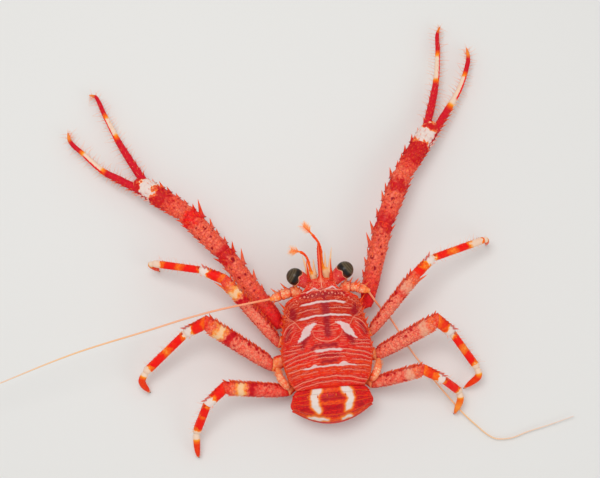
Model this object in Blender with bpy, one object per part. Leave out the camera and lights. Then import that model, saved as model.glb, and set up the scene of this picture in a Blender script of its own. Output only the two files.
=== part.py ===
# A munida squat lobster at life size, a still model that stands on z = 0.
# The head looks along +Y, the animal's right side is +X and up is +Z.
# Every size below is in millimetres. The meshes are turned into metres as they are made.

import math
import random

import bmesh
import bpy
from mathutils import Matrix, Vector

MM = 0.001
GAP = 0.3                 # clear space between one solid and the next
HALF_GAP = GAP / 2
SIDES = {"left": -1, "right": 1}
UP = Vector((0.0, 0.0, 1.0))
AHEAD = Vector((0.0, 1.0, 0.0))
SEED = 27                 # for the seeded variation between spines
SPINE_SIDES = 5
SPINE_SINK = 0.45         # how deep a spine's root sits in what it grows from

# Places below are measured from the middle of the carapace; ORIGIN is the floor under the tail.

# Carapace
CARAPACE_REAR = -11.2
CARAPACE_HALF_WIDTHS = ((-11.2, 8.5), (-9.3, 9.5), (-7.0, 10.3), (-1.5, 11.3), (7.0, 10.4), (14.5, 9.2))
CARAPACE_CREST = ((-11.2, 12.3), (-6.0, 13.7), (0.0, 14.1), (7.0, 13.8), (14.0, 12.7))
CARAPACE_EDGE = 10.0      # height of the rounded side edge
CARAPACE_FLOOR = 7.9      # height of the shell's lower rim
SHELL_WALL = ((0.15, 9.1), (-0.7, CARAPACE_FLOOR))    # how far each lower line of the wall stands out
WALL_SPAN = 10.5
FRONT_MARGIN = 12.9       # front edge beside the rostrum's lobe
LOBE_REACH = 1.2          # how far the rostrum's lobe stands ahead of that edge
LOBE_HALF_WIDTH = 3.9
SHOULDER_DROP = 3.0       # how far the front edge runs back to the side
COLUMNS = 18
RIDGES = (                # places of the transverse ridges along the midline, and their heights
    (9.4, 0.30), (7.5, 0.22), (5.8, 0.30), (3.3, 0.24), (1.2, 0.16), (-0.8, 0.20),
    (-2.7, 0.30), (-4.4, 0.22), (-6.4, 0.32), (-8.8, 0.26), (-10.9, 0.24))
RIDGE_FRONT = 0.30        # run of a ridge's steep front and of its long back
RIDGE_BACK = 0.50
RIDGE_BOW = 0.8           # how far a ridge runs back at the sides

# Sternum and the leg bases under the carapace
STERNUM_TOP = CARAPACE_FLOOR - GAP
STERNUM_KEEL = 4.3
STERNUM_HALF_WIDTHS = ((-9.6, 7.4), (-6.0, 7.8), (0.0, 6.6), (5.0, 5.4), (8.5, 4.4), (11.6, 3.0))

# Folded abdomen: a bend of one outer radius about a level axis, then straight ahead beneath
FOLD_RADIUS = 6.0
FOLD_AXIS_Y = -13.9
ABDOMEN_FRONT = CARAPACE_REAR - GAP
ABDOMEN_ARCH = 0.039      # fall of the back towards the sides, per mm of width squared
BELLY_FLAT = 1.7          # half-width of the flat strip that the last somite rests on
SOMITES = (               # path length, half-widths at its front and rear, thickness at its front and rear
    ("abdomen_1", 1.2, 8.9, 9.4, 4.3, 4.3),
    ("abdomen_2", 6.6, 10.0, 10.4, 4.3, 4.2),
    ("abdomen_3", 4.5, 10.2, 9.7, 4.2, 4.1),
    ("abdomen_4", 4.3, 9.5, 8.9, 4.1, 3.8),
    ("abdomen_5", 4.0, 8.7, 8.0, 3.8, 3.4),
    ("abdomen_6", 5.2, 7.4, 6.2, 3.1, 2.3))
REST_Y = -11.6            # where that strip meets the floor, on the midline: the origin
TELSON_LENGTH = 5.6
TELSON_HALF_WIDTH = 3.4
ORIGIN = Vector((0.0, REST_Y, 0.0))
FAN_THICKNESS = 1.2
LOBE_SHAPE = ((0.0, 0.55), (0.2, 0.82), (0.5, 1.0), (0.8, 0.86), (0.95, 0.5), (1.0, 0.22))
# Along a somite: place, and how far its surface lies below the fold's outer radius
SOMITE_MARKS = ((0.0, 0.16), (0.15, 0.02), (0.45, 0.0), (0.55, 0.12), (0.66, 0.14), (0.85, 0.0), (1.0, 0.05))
SHORT_SOMITE_MARKS = ((0.0, 0.15), (1.0, 0.05))
SOMITE_COLUMNS = 10

# Eyes, feelers and mouth limbs, given for the right side and mirrored for the left
STALK_ROOT = Vector((3.95, 14.22, 11.0))
EYE_CENTRE = Vector((6.0, 16.6, 11.9))
EYE_RADIUS = 2.15
EYE_CUT = 1.3             # from the eye's centre back to its flat on the stalk
ROSTRUM_ROOT = Vector((0.0, 13.2, 12.0))
ROSTRUM_TIP = Vector((0.2, 24.4, 13.2))
ROSTRUM_RADIUS = 0.85
SUPRAOCULAR_RADIUS = 0.55
SUPRAOCULAR_ROOT = Vector((2.75, 13.8, 12.1))
SUPRAOCULAR_TIP = Vector((3.0, 20.1, 13.2))
PEDUNCLE_WIDTH = 2.1
FLAGELLUM_RADIUS = 0.34
FLAGELLUM_TIP_RADIUS = 0.16
FLAGELLUM_STEP = 2.2

# Limbs: where each leaves the body, then length, heading out from straight ahead, and pitch
CHELIPEDS = {
    "left": {
        "base": 6.6, "root": (11.0, 5.9, 5.8),
        "merus": (22.6, 33.0, 6.9), "carpus": (14.5, 38.3, -4.8), "palm": (13.6, 51.4, -8.0),
        "finger": ((6.6, 28.2, -6.9), (6.7, 25.8, -5.2), (8.5, 22.3, -5.4),
                   (4.7, 20.6, -3.7), (1.8, 62.8, -6.5)),
        "thumb": ((5.5, 56.7, -7.3), (5.4, 55.6, -6.3), (6.8, 43.0, -5.9),
                   (4.8, 41.0, -4.8), (2.6, 12.3, -6.6))},
    "right": {
        "base": 7.9, "root": (11.0, 9.0, 5.8),
        "merus": (20.6, 18.6, 7.0), "carpus": (13.8, 26.0, -4.6), "palm": (14.5, 36.9, -7.9),
        "finger": ((7.0, 19.7, -5.0), (6.5, 15.8, -6.2), (7.5, 9.7, -5.3),
                   (4.9, 5.6, -3.5), (2.0, 25.7, -5.8)),
        "thumb": ((6.6, 36.9, -5.2), (6.6, 34.9, -6.1), (5.9, 25.4, -5.9),
                   (3.5, 16.6, -4.9), (2.6, -1.9, -6.7))}}
CHELIPED_WIDTHS = {"ischium": 3.0, "merus": 4.3, "carpus": 4.8, "palm": 5.0, "finger": 1.95, "thumb": 2.0}
FINGER_OFFSET = 1.2       # from the palm's middle to the root of each finger
LEGS = {
    "leg_2_left": {
        "base": (5.0, 3.0, 5.9), "root": (11.7, 1.2, 6.0), "widths": (3.0, 2.4, 1.85, 1.45),
        "merus": (21.1, 36.3, 16.5), "carpus": (6.2, 61.5, -9.3), "propodus": (13.2, 73.7, -19.4),
        "foot": (1.0, 95.0, -35.0), "tip": (40.3, 22.9)},
    "leg_3_left": {
        "base": (5.4, -1.6, 5.9), "root": (13.8, -4.2, 6.0), "widths": (3.9, 2.8, 2.1, 1.7),
        "merus": (20.2, 53.6, 20.3), "carpus": (6.0, 108.9, -26.8), "propodus": (14.6, 126.5, -19.6),
        "foot": (2.7, 150.0, -20.0), "tip": (45.1, -7.6)},
    "leg_4_left": {
        "base": (5.4, -5.8, 5.7), "root": (10.7, -10.9, 5.6), "widths": (3.4, 2.5, 2.1, 1.6),
        "merus": (16.3, 83.3, 19.3), "carpus": (5.7, 128.1, -10.0), "propodus": (9.1, 150.4, -36.4),
        "foot": (2.6, 176.0, -18.0), "tip": (34.2, -24.8)},
    "leg_2_right": {
        "base": (5.0, 3.0, 5.9), "root": (11.5, 1.8, 6.0), "widths": (2.9, 2.4, 1.85, 1.4),
        "merus": (19.0, 44.8, 23.3), "carpus": (5.7, 49.8, -15.4), "propodus": (15.6, 73.2, -20.3),
        "foot": (0.9, 84.0, -35.0), "tip": (43.5, 21.8)},
    "leg_3_right": {
        "base": (5.4, -1.6, 5.9), "root": (12.3, -4.0, 6.0), "widths": (3.7, 2.7, 1.95, 1.65),
        "merus": (18.2, 68.1, 26.1), "carpus": (5.4, 130.2, -34.2), "propodus": (12.1, 145.8, -28.6),
        "foot": (2.3, 173.7, -22.0), "tip": (33.6, -14.1)},
    "leg_4_right": {
        "base": (5.4, -5.8, 5.7), "root": (10.6, -11.0, 5.6), "widths": (3.1, 2.4, 2.0, 1.6),
        "merus": (13.9, 82.5, 25.2), "carpus": (5.5, 121.2, -13.6), "propodus": (7.7, 124.7, -47.0),
        "foot": (2.3, 180.0, -25.0), "tip": (30.4, -20.2)}}
JOINT_EASE = 0.8          # share of a segment's width over which its rings turn to a joint's plane
FOOT_FLAT = 0.62          # width of the small flat under each leg's tip

# Along each segment: place from its root (0) to its end (1), and its share of the full width
MERUS_SHAPE = ((0.0, 0.70), (0.08, 0.84), (0.30, 0.95), (0.60, 1.0), (0.90, 0.99), (1.0, 0.84))
CARPUS_SHAPE = ((0.0, 0.80), (0.16, 0.92), (0.50, 1.0), (0.86, 0.99), (1.0, 0.84))
PALM_SHAPE = ((0.0, 0.80), (0.12, 0.89), (0.40, 0.96), (0.75, 1.0), (1.0, 0.97))
PROPODUS_SHAPE = ((0.0, 0.84), (0.12, 0.95), (0.50, 1.0), (0.88, 1.0), (1.0, 0.86))
FINGER_TAPER = ((0.0, 1.0), (0.3, 0.88), (0.55, 0.68), (0.85, 0.54), (0.94, 0.42), (1.0, 0.16))
DACTYL_TAPER = ((0.0, 0.94), (0.25, 1.0), (0.6, 0.76), (0.85, 0.50), (1.0, 0.34))

# Long spines on the claws' inner side: a place and a length each
INNER_SPINES = {
    "left": {
        "merus": ((0.30, 0.8), (0.43, 1.1), (0.57, 2.3), (0.78, 3.8), (0.95, 2.5)),
        "carpus": ((0.12, 1.5), (0.33, 1.1), (0.475, 2.4), (0.74, 4.5), (0.93, 1.2)),
        "palm": ((0.10, 1.0), (0.27, 1.3), (0.47, 1.6), (0.64, 1.7), (0.83, 1.0))},
    "right": {
        "merus": ((0.33, 1.5), (0.47, 1.9), (0.60, 1.4), (0.70, 3.5), (0.87, 3.0)),
        "carpus": ((0.10, 1.9), (0.42, 2.3), (0.60, 2.0), (0.87, 2.4)),
        "palm": ((0.10, 1.2), (0.25, 1.3), (0.37, 2.0), (0.62, 1.8), (0.83, 1.0))}}
INNER_ANGLE = 168
INNER_LEAN = 58
INNER_RADIUS = 0.28       # of the thinnest long spine, and its growth with length
INNER_GROWTH = 0.06
# Rows of short spines: first and last place, count, angle round the limb, first and last length
CLAW_ROWS = {
    "merus": ((0.74, 0.93, 2, 12, 0.8, 1.8), (0.16, 0.90, 6, 62, 0.6, 0.9), (0.28, 0.95, 5, 118, 0.6, 1.0)),
    "carpus": ((0.12, 0.92, 5, 10, 1.3, 1.4), (0.15, 0.90, 4, 62, 0.7, 0.9), (0.20, 0.93, 4, 116, 0.8, 0.9)),
    "palm": ((0.08, 0.90, 6, 8, 1.3, 1.3), (0.15, 0.80, 4, 60, 0.7, 0.6), (0.18, 0.85, 4, 116, 0.8, 0.6)),
    "finger": ((0.05, 0.30, 3, 178, 0.9, 0.7),),
    "thumb": ((0.04, 0.52, 6, 2, 1.6, 1.2),)}
CLAW_RADIUS = 0.30
CLAW_LEAN = 60
# The legs' rows, on the front edge and the rear edge, then the spine at the lower far end of the merus
LEG_ROWS = {
    "merus": ((0.14, 0.94, 8, 150, 0.6, 1.3), (0.26, 0.80, 5, -18, 0.5, 0.6)),
    "carpus": ((0.28, 0.90, 3, 142, 0.6, 1.1),),
    "propodus": ((0.08, 0.08, 1, 120, 0.7, 0.7),)}
LEG_RADIUS = 0.27
LEG_LEAN = 60
LEG_END_ANGLE = -38
LEG_END_LEAN = 68
LEG_END_SPINES = {"leg_2": (0.88, 3.7, 0.46), "leg_3": (0.82, 1.3, 0.34), "leg_4": (0.84, 1.0, 0.30)}
# Spines of the carapace: across the front (x, length), and along each side (y, length)
FRONT_SPINES = ((0.9, 0.55), (2.4, 0.75), (3.9, 0.6), (5.4, 0.5), (6.8, 0.6))
FRONT_SPINE_Y = 11.7
FRONT_SPINE_WAY = Vector((0.0, 0.75, 0.66))
SIDE_SPINES = ((10.3, 1.7), (7.6, 0.9), (4.9, 1.1), (3.2, 0.9), (1.2, 0.9), (-0.9, 0.8), (-3.2, 0.7),
               (-5.4, 0.6))
SHELL_RADIUS = 0.28
# Spines of the second somite: how far each stands from the midline, and where the row lies
TAIL_SPINES = (1.1, 3.4, 5.8)
TAIL_SPINE_PLACE = 0.7
TAIL_SPINE_LENGTH = 0.6
TAIL_SPINE_WAY = Vector((0.0, 0.62, 0.78))
# Spines on the feelers' roots: place, angle, length
FEELER_ROOT_SPINES = ((0.30, 175, 1.9), (0.50, 150, 2.2), (0.66, 190, 1.6), (0.88, 160, 1.3), (0.72, 20, 0.9))
FEELER_SPINE_RADIUS = 0.28
FEELER_SPINE_LEAN = 30
BASAL_SPINES = {"left": ((0.36, 176, 3.6), (0.36, -8, 3.2)), "right": ((0.30, 176, 3.4), (0.30, -8, 4.4))}
BASAL_RADIUS = 0.30
BASAL_LEAN = 78

# Routes of the feelers, the mouth limbs and the last legs, for the right side and mirrored for the left
ANTENNULE_ROUTES = {
    "left": ((1.5, 14.4, 10.0), (1.9, 16.6, 10.2), (2.2, 18.4, 10.8), (2.8, 21.0, 12.0), (4.0, 22.2, 12.7),
             (6.3, 22.9, 13.0)),
    "right": ((1.5, 14.4, 10.0), (1.5, 16.6, 10.2), (1.3, 18.6, 10.8), (0.6, 24.2, 12.3), (-0.4, 26.2, 12.8),
              (-2.8, 28.8, 13.0))}
ANTENNULE_WIDTHS = (2.0, 2.1, 1.25, 0.75, 0.66, 0.62, 0.62, 0.58, 0.30)
ANTENNA_ROOTS = {
    "left": ((5.7, 12.9, 9.4), (6.3, 13.5, 9.6), (9.3, 13.0, 10.0), (12.3, 11.85, 10.0)),
    "right": ((5.7, 12.9, 9.4), (6.3, 13.6, 9.6), (9.0, 13.1, 10.0), (11.5, 11.75, 10.0))}
PEDUNCLE_SHAPE = (0.8, 0.95, 1.0, 0.92, 0.94, 0.80, 0.50)
WHIP_ROUTES = {
    "left": ((17.2, 10.9, 12.6), (25.1, 9.7, 14.8), (33.7, 8.1, 15.8), (42.4, 6.2, 16.0), (61.0, 2.4, 15.0),
             (80.1, -2.8, 12.0), (95.9, -7.3, 8.0)),
    "right": ((14.5, 7.3, 6.6), (16.7, 4.6, 5.5), (20.9, -3.4, 4.2), (26.0, -11.4, 3.0), (31.8, -19.4, 1.7),
              (35.2, -23.3, 1.1), (39.4, -27.1, 0.9), (43.6, -27.6, 0.9), (48.3, -26.4, 0.9),
              (54.4, -25.1, 1.0), (60.1, -23.7, 1.2))}
MAXILLIPED_ROUTE = ((2.2, 11.95, 6.2), (2.9, 13.6, 6.7), (3.1, 16.0, 6.8), (2.3, 17.4, 6.1), (1.7, 16.6, 5.0))
MAXILLIPED_WIDTHS = (1.5, 1.9, 1.9, 1.6, 1.4, 1.25, 1.15, 0.95, 0.45)
LAST_LEG_ROUTE = ((10.2, -10.2, 7.05), (10.8, -9.6, 7.95), (11.8, -7.9, 8.4), (12.3, -5.8, 8.1))
LAST_LEG_WIDTHS = (1.2, 1.4, 1.45, 1.4, 1.2, 0.8)

COLOURS = {               # colour, roughness
    "shell": ((0.70, 0.045, 0.03), 0.42),
    "belly": ((0.80, 0.30, 0.16), 0.50),
    "limb": ((0.74, 0.09, 0.05), 0.42),
    "foot": ((0.80, 0.18, 0.06), 0.42),
    "feeler": ((0.86, 0.42, 0.26), 0.45),
    "stalk": ((0.62, 0.04, 0.04), 0.38),
    "eye": ((0.07, 0.065, 0.045), 0.16)}


def mirror(point, hand):
    """The same place on the right side (hand 1) or the left side (hand -1)."""
    return Vector((point[0] * hand, point[1], point[2]))


def step(length, heading, pitch, hand):
    """A vector from its length, its heading out from straight ahead, and its pitch."""
    turn, rise = math.radians(heading), math.radians(pitch)
    level = length * math.cos(rise)
    return Vector((level * math.sin(turn) * hand, level * math.cos(turn), length * math.sin(rise)))


def between(stops, place):
    """The value at a place among (place, value) stops, eased from stop to stop."""
    if place <= stops[0][0]:
        return stops[0][1]
    for (low, value), (high, after) in zip(stops, stops[1:]):
        if place <= high:
            share = (place - low) / (high - low)
            return value + (after - value) * share
    return stops[-1][1]


def smooth_between(stops, place):
    """As between, on a smooth curve through the stops."""
    places = [stop[0] for stop in stops]
    values = [stop[1] for stop in stops]
    place = min(max(place, places[0]), places[-1])
    last = len(stops) - 1
    index = min(max(sum(place > p for p in places[1:-1]), 0), last - 1)
    slopes = []
    for k in range(last + 1):
        low, high = max(k - 1, 0), min(k + 1, last)
        slopes.append((values[high] - values[low]) / (places[high] - places[low]))
    span = places[index + 1] - places[index]
    t = (place - places[index]) / span
    rise = slopes[index] * span
    fall = slopes[index + 1] * span
    start, end = values[index], values[index + 1]
    return ((2 * t ** 3 - 3 * t ** 2 + 1) * start + (t ** 3 - 2 * t ** 2 + t) * rise
            + (3 * t ** 2 - 2 * t ** 3) * end + (t ** 3 - t ** 2) * fall)


def smooth_path(points, count):
    """Evenly numbered points on a smooth curve through the given ones."""
    knots = [0.0]
    for a, b in zip(points, points[1:]):
        knots.append(knots[-1] + (b - a).length)
    axes = [[(knot, point[axis]) for knot, point in zip(knots, points)] for axis in range(3)]
    places = [knots[-1] * k / (count - 1) for k in range(count)]
    return [Vector([smooth_between(stops, place) for stops in axes]) for place in places]


def to_metres(bm):
    """Moves a body from millimetres about the carapace to metres about the origin."""
    bmesh.ops.translate(bm, vec=-ORIGIN, verts=bm.verts)
    bmesh.ops.scale(bm, vec=(MM, MM, MM), verts=bm.verts)
    bmesh.ops.recalc_face_normals(bm, faces=bm.faces)


def new_object(name, bm, look):
    """One named solid from a bmesh in millimetres, with its own material."""
    to_metres(bm)
    mesh = bpy.data.meshes.new(name)
    bm.to_mesh(mesh)
    bm.free()
    mesh.shade_smooth()
    mesh.set_sharp_from_angle(angle=math.radians(40))
    obj = bpy.data.objects.new(name, mesh)
    PARTS.objects.link(obj)
    mesh.materials.append(new_material(name, look))
    return obj


def new_material(name, look):
    colour, roughness = COLOURS[look]
    material = bpy.data.materials.new(name)
    material.use_nodes = True
    shader = material.node_tree.nodes["Principled BSDF"]
    shader.inputs["Base Color"].default_value = (*colour, 1.0)
    shader.inputs["Roughness"].default_value = roughness
    shader.inputs["Metallic"].default_value = 0.0
    return material


def loft(rings):
    """A closed body through rings of equal count, with flat ends."""
    bm = bmesh.new()
    rows = [[bm.verts.new(point) for point in ring] for ring in rings]
    for row, ahead in zip(rows, rows[1:]):
        for k in range(len(row)):
            after = (k + 1) % len(row)
            bm.faces.new((row[k], row[after], ahead[after], ahead[k]))
    bm.faces.new(rows[0])
    bm.faces.new(rows[-1])
    return bm


class Limb:
    """A tapered limb segment: rings of elliptic section along a line of centres."""

    def __init__(self, centres, widths, heights, hand, start_face=None, end_face=None, sides=8):
        self.centres = centres
        self.widths = widths
        self.heights = heights
        self.hand = hand
        self.sides = sides
        last = len(centres) - 1
        self.along = [(centres[min(k + 1, last)] - centres[max(k - 1, 0)]).normalized()
                      for k in range(last + 1)]
        self.faces = list(self.along)
        self.faces[0] = start_face or self.faces[0]
        self.faces[-1] = end_face or self.faces[-1]
        lengths = [0.0]
        for a, b in zip(centres, centres[1:]):
            lengths.append(lengths[-1] + (b - a).length)
        self.places = [length / lengths[-1] for length in lengths]

    def frame(self, along):
        """Directions to the segment's outer (rear) side and to its top."""
        outer = along.cross(UP).normalized() * self.hand
        top = (along.cross(outer) * -self.hand).normalized()
        return outer, top

    def ring(self, index):
        centre, along, face = self.centres[index], self.along[index], self.faces[index]
        outer, top = self.frame(along)
        ring = []
        for k in range(self.sides):
            angle = 2 * math.pi * (k + 0.5) / self.sides
            point = (outer * (self.widths[index] / 2 * math.cos(angle))
                     + top * (self.heights[index] / 2 * math.sin(angle)))
            point -= along * (point.dot(face) / along.dot(face))
            ring.append(centre + point)
        return ring

    def body(self):
        return loft([self.ring(k) for k in range(len(self.centres))])

    def spine(self, place, angle, length, radius, lean):
        """Root and tip of a spine at a place along the limb and an angle round it from its outer side."""
        centre = Vector([between(list(zip(self.places, [c[axis] for c in self.centres])), place)
                         for axis in range(3)])
        width = between(list(zip(self.places, self.widths)), place)
        height = between(list(zip(self.places, self.heights)), place)
        index = min(sum(place > p for p in self.places[1:]), len(self.centres) - 2)
        along = (self.centres[index + 1] - self.centres[index]).normalized()
        outer, top = self.frame(along)
        turn = math.radians(angle)
        skin = outer * (width / 2 * math.cos(turn)) + top * (height / 2 * math.sin(turn))
        away = (outer * math.cos(turn) + top * math.sin(turn)).normalized()
        tilt = math.radians(lean)
        way = away * math.cos(tilt) + along * math.sin(tilt)
        surface = centre + skin
        return surface - way * min(SPINE_SINK, 0.3 * height), surface + way * length, radius


def spine_row(limb, first, last, count, angle, long_size, short_size, radius, lean, varied):
    """A row of spines along a limb, from long to short, with seeded variation."""
    spines = []
    for k in range(count):
        share = k / max(count - 1, 1)
        place = first + (last - first) * share
        length = (long_size + (short_size - long_size) * share) * varied.uniform(0.86, 1.12)
        spines.append(limb.spine(place, angle + varied.uniform(-5, 5), length, radius, lean))
    return spines


def cone_piece(root, tip, radius):
    """A spine as a tapered cone from its sunk root to its tip."""
    bm = bmesh.new()
    way = tip - root
    turn = way.to_track_quat("Z", "Y").to_matrix().to_4x4()
    place = Matrix.Translation(root + way / 2) @ turn
    bmesh.ops.create_cone(bm, cap_ends=True, segments=SPINE_SIDES, radius1=radius, radius2=0.0,
                          depth=way.length, matrix=place)
    bmesh.ops.remove_doubles(bm, verts=bm.verts, dist=0.0001)
    return bm


def largest_body(obj):
    """Keeps only the mesh's largest closed surface."""
    bm = bmesh.new()
    bm.from_mesh(obj.data)
    seen, shells = set(), []
    for face in bm.faces:
        if face in seen:
            continue
        seen.add(face)
        shell, queue = [], [face]
        while queue:
            here = queue.pop()
            shell.append(here)
            for edge in here.edges:
                for beside in edge.link_faces:
                    if beside not in seen:
                        seen.add(beside)
                        queue.append(beside)
        shells.append(shell)
    shells.sort(key=lambda shell: sum(face.calc_area() for face in shell), reverse=True)
    extra = [face for shell in shells[1:] for face in shell]
    if extra:
        bmesh.ops.delete(bm, geom=extra, context="FACES")
        bmesh.ops.delete(bm, geom=[v for v in bm.verts if not v.link_faces], context="VERTS")
    bm.to_mesh(obj.data)
    bm.free()


def fuse(obj, bodies):
    """Joins closed bodies to a solid with one union, and drops loose scraps."""
    helpers = bpy.data.collections.new(obj.name + " pieces")
    bpy.context.scene.collection.children.link(helpers)
    for bm in bodies:
        to_metres(bm)
        mesh = bpy.data.meshes.new("piece")
        bm.to_mesh(mesh)
        bm.free()
        helpers.objects.link(bpy.data.objects.new("piece", mesh))
    union = obj.modifiers.new("fuse", "BOOLEAN")
    union.operation = "UNION"
    union.operand_type = "COLLECTION"
    union.collection = helpers
    union.solver = "EXACT"
    scene_view = bpy.context.evaluated_depsgraph_get()
    joined = bpy.data.meshes.new_from_object(obj.evaluated_get(scene_view))
    obj.modifiers.clear()
    obj.data = joined
    for piece in list(helpers.objects):
        bpy.data.objects.remove(piece)
    bpy.data.collections.remove(helpers)
    largest_body(obj)
    return obj


def fuse_spines(obj, spines):
    return fuse(obj, [cone_piece(*spine) for spine in spines])


def carapace_half_width(y):
    return smooth_between(CARAPACE_HALF_WIDTHS, y)


def ridge_bow(y):
    """How far a line across the shell runs back towards its sides."""
    front_ease = min(max((y - 9.4) / 3.2, 0.0), 1.0)
    rear_ease = min((y - CARAPACE_REAR) / 2.4, 1.0)
    return RIDGE_BOW * (1.0 - front_ease) * rear_ease


def front_edge(x):
    """The front margin: a lobe that carries the rostrum, and shoulders that run back."""
    lobe = LOBE_REACH / (1.0 + (abs(x) / LOBE_HALF_WIDTH) ** 8)
    return FRONT_MARGIN + lobe - SHOULDER_DROP * (abs(x) / 9.6) ** 2.2


def carapace_point(y_mid, u, lift):
    """A place on the shell's back: y_mid names its line across, u its share of the half-width."""
    half = carapace_half_width(y_mid)
    x = half * u
    y = y_mid - ridge_bow(y_mid) * u * u
    front_share = min(max((y_mid - 9.4) / (FRONT_MARGIN + LOBE_REACH - 9.4), 0.0), 1.0)
    y += (front_edge(x) - (FRONT_MARGIN + LOBE_REACH)) * front_share
    crest = smooth_between(CARAPACE_CREST, y_mid)
    arch = max(1.0 - abs(u) ** 2.4, 0.0) ** 0.75
    fade = max(1.0 - abs(u) ** 6, 0.0)
    return Vector((x, y, CARAPACE_EDGE + (crest - CARAPACE_EDGE) * arch + lift * fade))


def carapace_rows():
    """Lines across the shell from rear to front, with the height that each ridge adds."""
    rows = [(CARAPACE_REAR, 0.0)]
    ridges = sorted(RIDGES)
    for index, (y, lift) in enumerate(ridges):
        if y - RIDGE_BACK > rows[-1][0] + 0.1:
            rows.append((y - RIDGE_BACK, 0.0))
        rows.append((y, lift))
        rows.append((y + RIDGE_FRONT, 0.0))
        if index + 1 < len(ridges):
            middle = (y + RIDGE_FRONT + ridges[index + 1][0] - RIDGE_BACK) / 2
            if middle > rows[-1][0] + 0.25:
                rows.append((middle, 0.0))
    lip = FRONT_MARGIN + LOBE_REACH
    start = rows[-1][0]
    rows += [(start + (lip - start) * share, 0.06) for share in (0.3, 0.6, 0.85, 1.0)]
    return rows


def carapace():
    """The shell as a ridged back, side walls that tuck in, and a flat underside."""
    shares = [math.sin(math.pi / 2 * (2 * k / COLUMNS - 1)) for k in range(COLUMNS + 1)]
    rows = carapace_rows()
    bm = bmesh.new()
    grid = [[bm.verts.new(carapace_point(y, u, lift)) for u in shares] for y, lift in rows]
    for row, ahead in zip(grid, grid[1:]):
        for k in range(COLUMNS):
            bm.faces.new((row[k], row[k + 1], ahead[k + 1], ahead[k]))
    rim = grid[0] + [row[-1] for row in grid[1:]] + grid[-1][-2::-1] + [row[0] for row in grid[-2:0:-1]]
    for out, height in SHELL_WALL:
        lower = []
        for above in rim:
            x, y = above.co.x, above.co.y
            lower.append(bm.verts.new((x * (1.0 + out / WALL_SPAN), y, height)))
        for k in range(len(rim)):
            after = (k + 1) % len(rim)
            bm.faces.new((rim[k], rim[after], lower[after], lower[k]))
        rim = lower
    bm.faces.new(rim)
    shell = new_object("carapace", bm, "shell")
    return fuse_spines(shell, carapace_spines())


def carapace_spines():
    """The rostrum, the two spines beside it, the row behind them and those along each side."""
    spines = [(ROSTRUM_ROOT, ROSTRUM_TIP, ROSTRUM_RADIUS)]
    for hand in SIDES.values():
        spines.append((mirror(SUPRAOCULAR_ROOT, hand), mirror(SUPRAOCULAR_TIP, hand), SUPRAOCULAR_RADIUS))
        for x, length in FRONT_SPINES:
            foot = carapace_point(FRONT_SPINE_Y, hand * x / carapace_half_width(FRONT_SPINE_Y), 0.0)
            spines.append((foot - FRONT_SPINE_WAY * SPINE_SINK, foot + FRONT_SPINE_WAY * length, SHELL_RADIUS))
        for y, length in SIDE_SPINES:
            foot = carapace_point(y, hand * 0.99, 0.0)
            foot.z = CARAPACE_EDGE - 0.15
            way = Vector((0.42 * hand, 0.88, 0.12)).normalized()
            spines.append((foot - way * SPINE_SINK, foot + way * length, SHELL_RADIUS))
    return spines


def sternum():
    """The plate between the legs, with a short base for each walking leg."""
    rings = []
    for y, half in STERNUM_HALF_WIDTHS:
        keel = STERNUM_KEEL + 0.18 * max(y - 4.0, 0.0)
        outline = ((-half, 6.9), (-half, 5.6), (-half * 0.62, keel + 0.35), (0.0, keel),
                   (half * 0.62, keel + 0.35), (half, 5.6), (half, 6.9),
                   (half - 0.6, STERNUM_TOP), (-half + 0.6, STERNUM_TOP))
        rings.append([Vector((x, y, z)) for x, z in outline])
    plate = new_object("sternum", loft(rings), "belly")
    bases = []
    for name, leg in LEGS.items():
        hand = SIDES[name.rsplit("_", 1)[1]]
        base, root = mirror(leg["base"], hand), mirror(leg["root"], hand)
        way = (root - base).normalized()
        face = (way + step(1.0, *leg["merus"][1:], hand)).normalized()
        end = root - way * (HALF_GAP / way.dot(face))
        width = leg["widths"][0] * MERUS_SHAPE[0][1]
        centres = [base, base.lerp(end, 0.45), base.lerp(end, 0.8), end]
        widths = [width * 1.15, width * 1.12, width * 1.15, width]
        bases.append(Limb(centres, widths, [w * 0.9 for w in widths], hand, end_face=face).body())
    return fuse(plate, bases)


def fold_point(distance, depth, x, slide=0.0):
    """A place in the folded abdomen: distance along its outer midline, depth below it, x, and a
    slide straight along the fold."""
    level = ABDOMEN_FRONT - FOLD_AXIS_Y
    bend = math.pi * FOLD_RADIUS
    radius = FOLD_RADIUS - depth
    angle = min(max((distance - level) / FOLD_RADIUS, 0.0), math.pi)
    straight = min(distance - level, 0.0) + max(distance - level - bend, 0.0)
    way = Vector((0.0, -math.cos(angle), -math.sin(angle)))
    out = Vector((0.0, -math.sin(angle), math.cos(angle)))
    return Vector((x, FOLD_AXIS_Y, FOLD_RADIUS)) + out * radius + way * (straight + slide)


def somite(name, start, length, widths, thicknesses):
    """One abdominal ring: an arched back over a flat belly, cut square to the fold."""
    last = name == "abdomen_6"
    inset = 0.12 if name == "abdomen_5" else 0.0
    rings = []
    for share, sink in SHORT_SOMITE_MARKS if length < 2.0 else SOMITE_MARKS:
        distance = start + length * share
        slide = HALF_GAP if share == 0.0 else -HALF_GAP if share == 1.0 else 0.0
        half = widths[0] + (widths[1] - widths[0]) * share
        thick = thicknesses[0] + (thicknesses[1] - thicknesses[0]) * share
        lobe = 1.0 - 0.05 * (2 * share - 1) ** 2
        ring = []
        for k in range(SOMITE_COLUMNS + 1):
            u = math.sin(math.pi / 2 * (2 * k / SOMITE_COLUMNS - 1))
            x = half * lobe * u
            spread = max(abs(x) - BELLY_FLAT, 0.0) if last else abs(x)
            arch = min(ABDOMEN_ARCH * spread ** 2, thick - 0.75)
            ring.append(fold_point(distance, inset + arch + (0.0 if last else sink), x, slide))
        for u in (0.8, 0.3, -0.3, -0.8):
            ring.append(fold_point(distance, thick, half * lobe * u, slide))
        rings.append(ring)
    return new_object(name, loft(rings), "shell")


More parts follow.
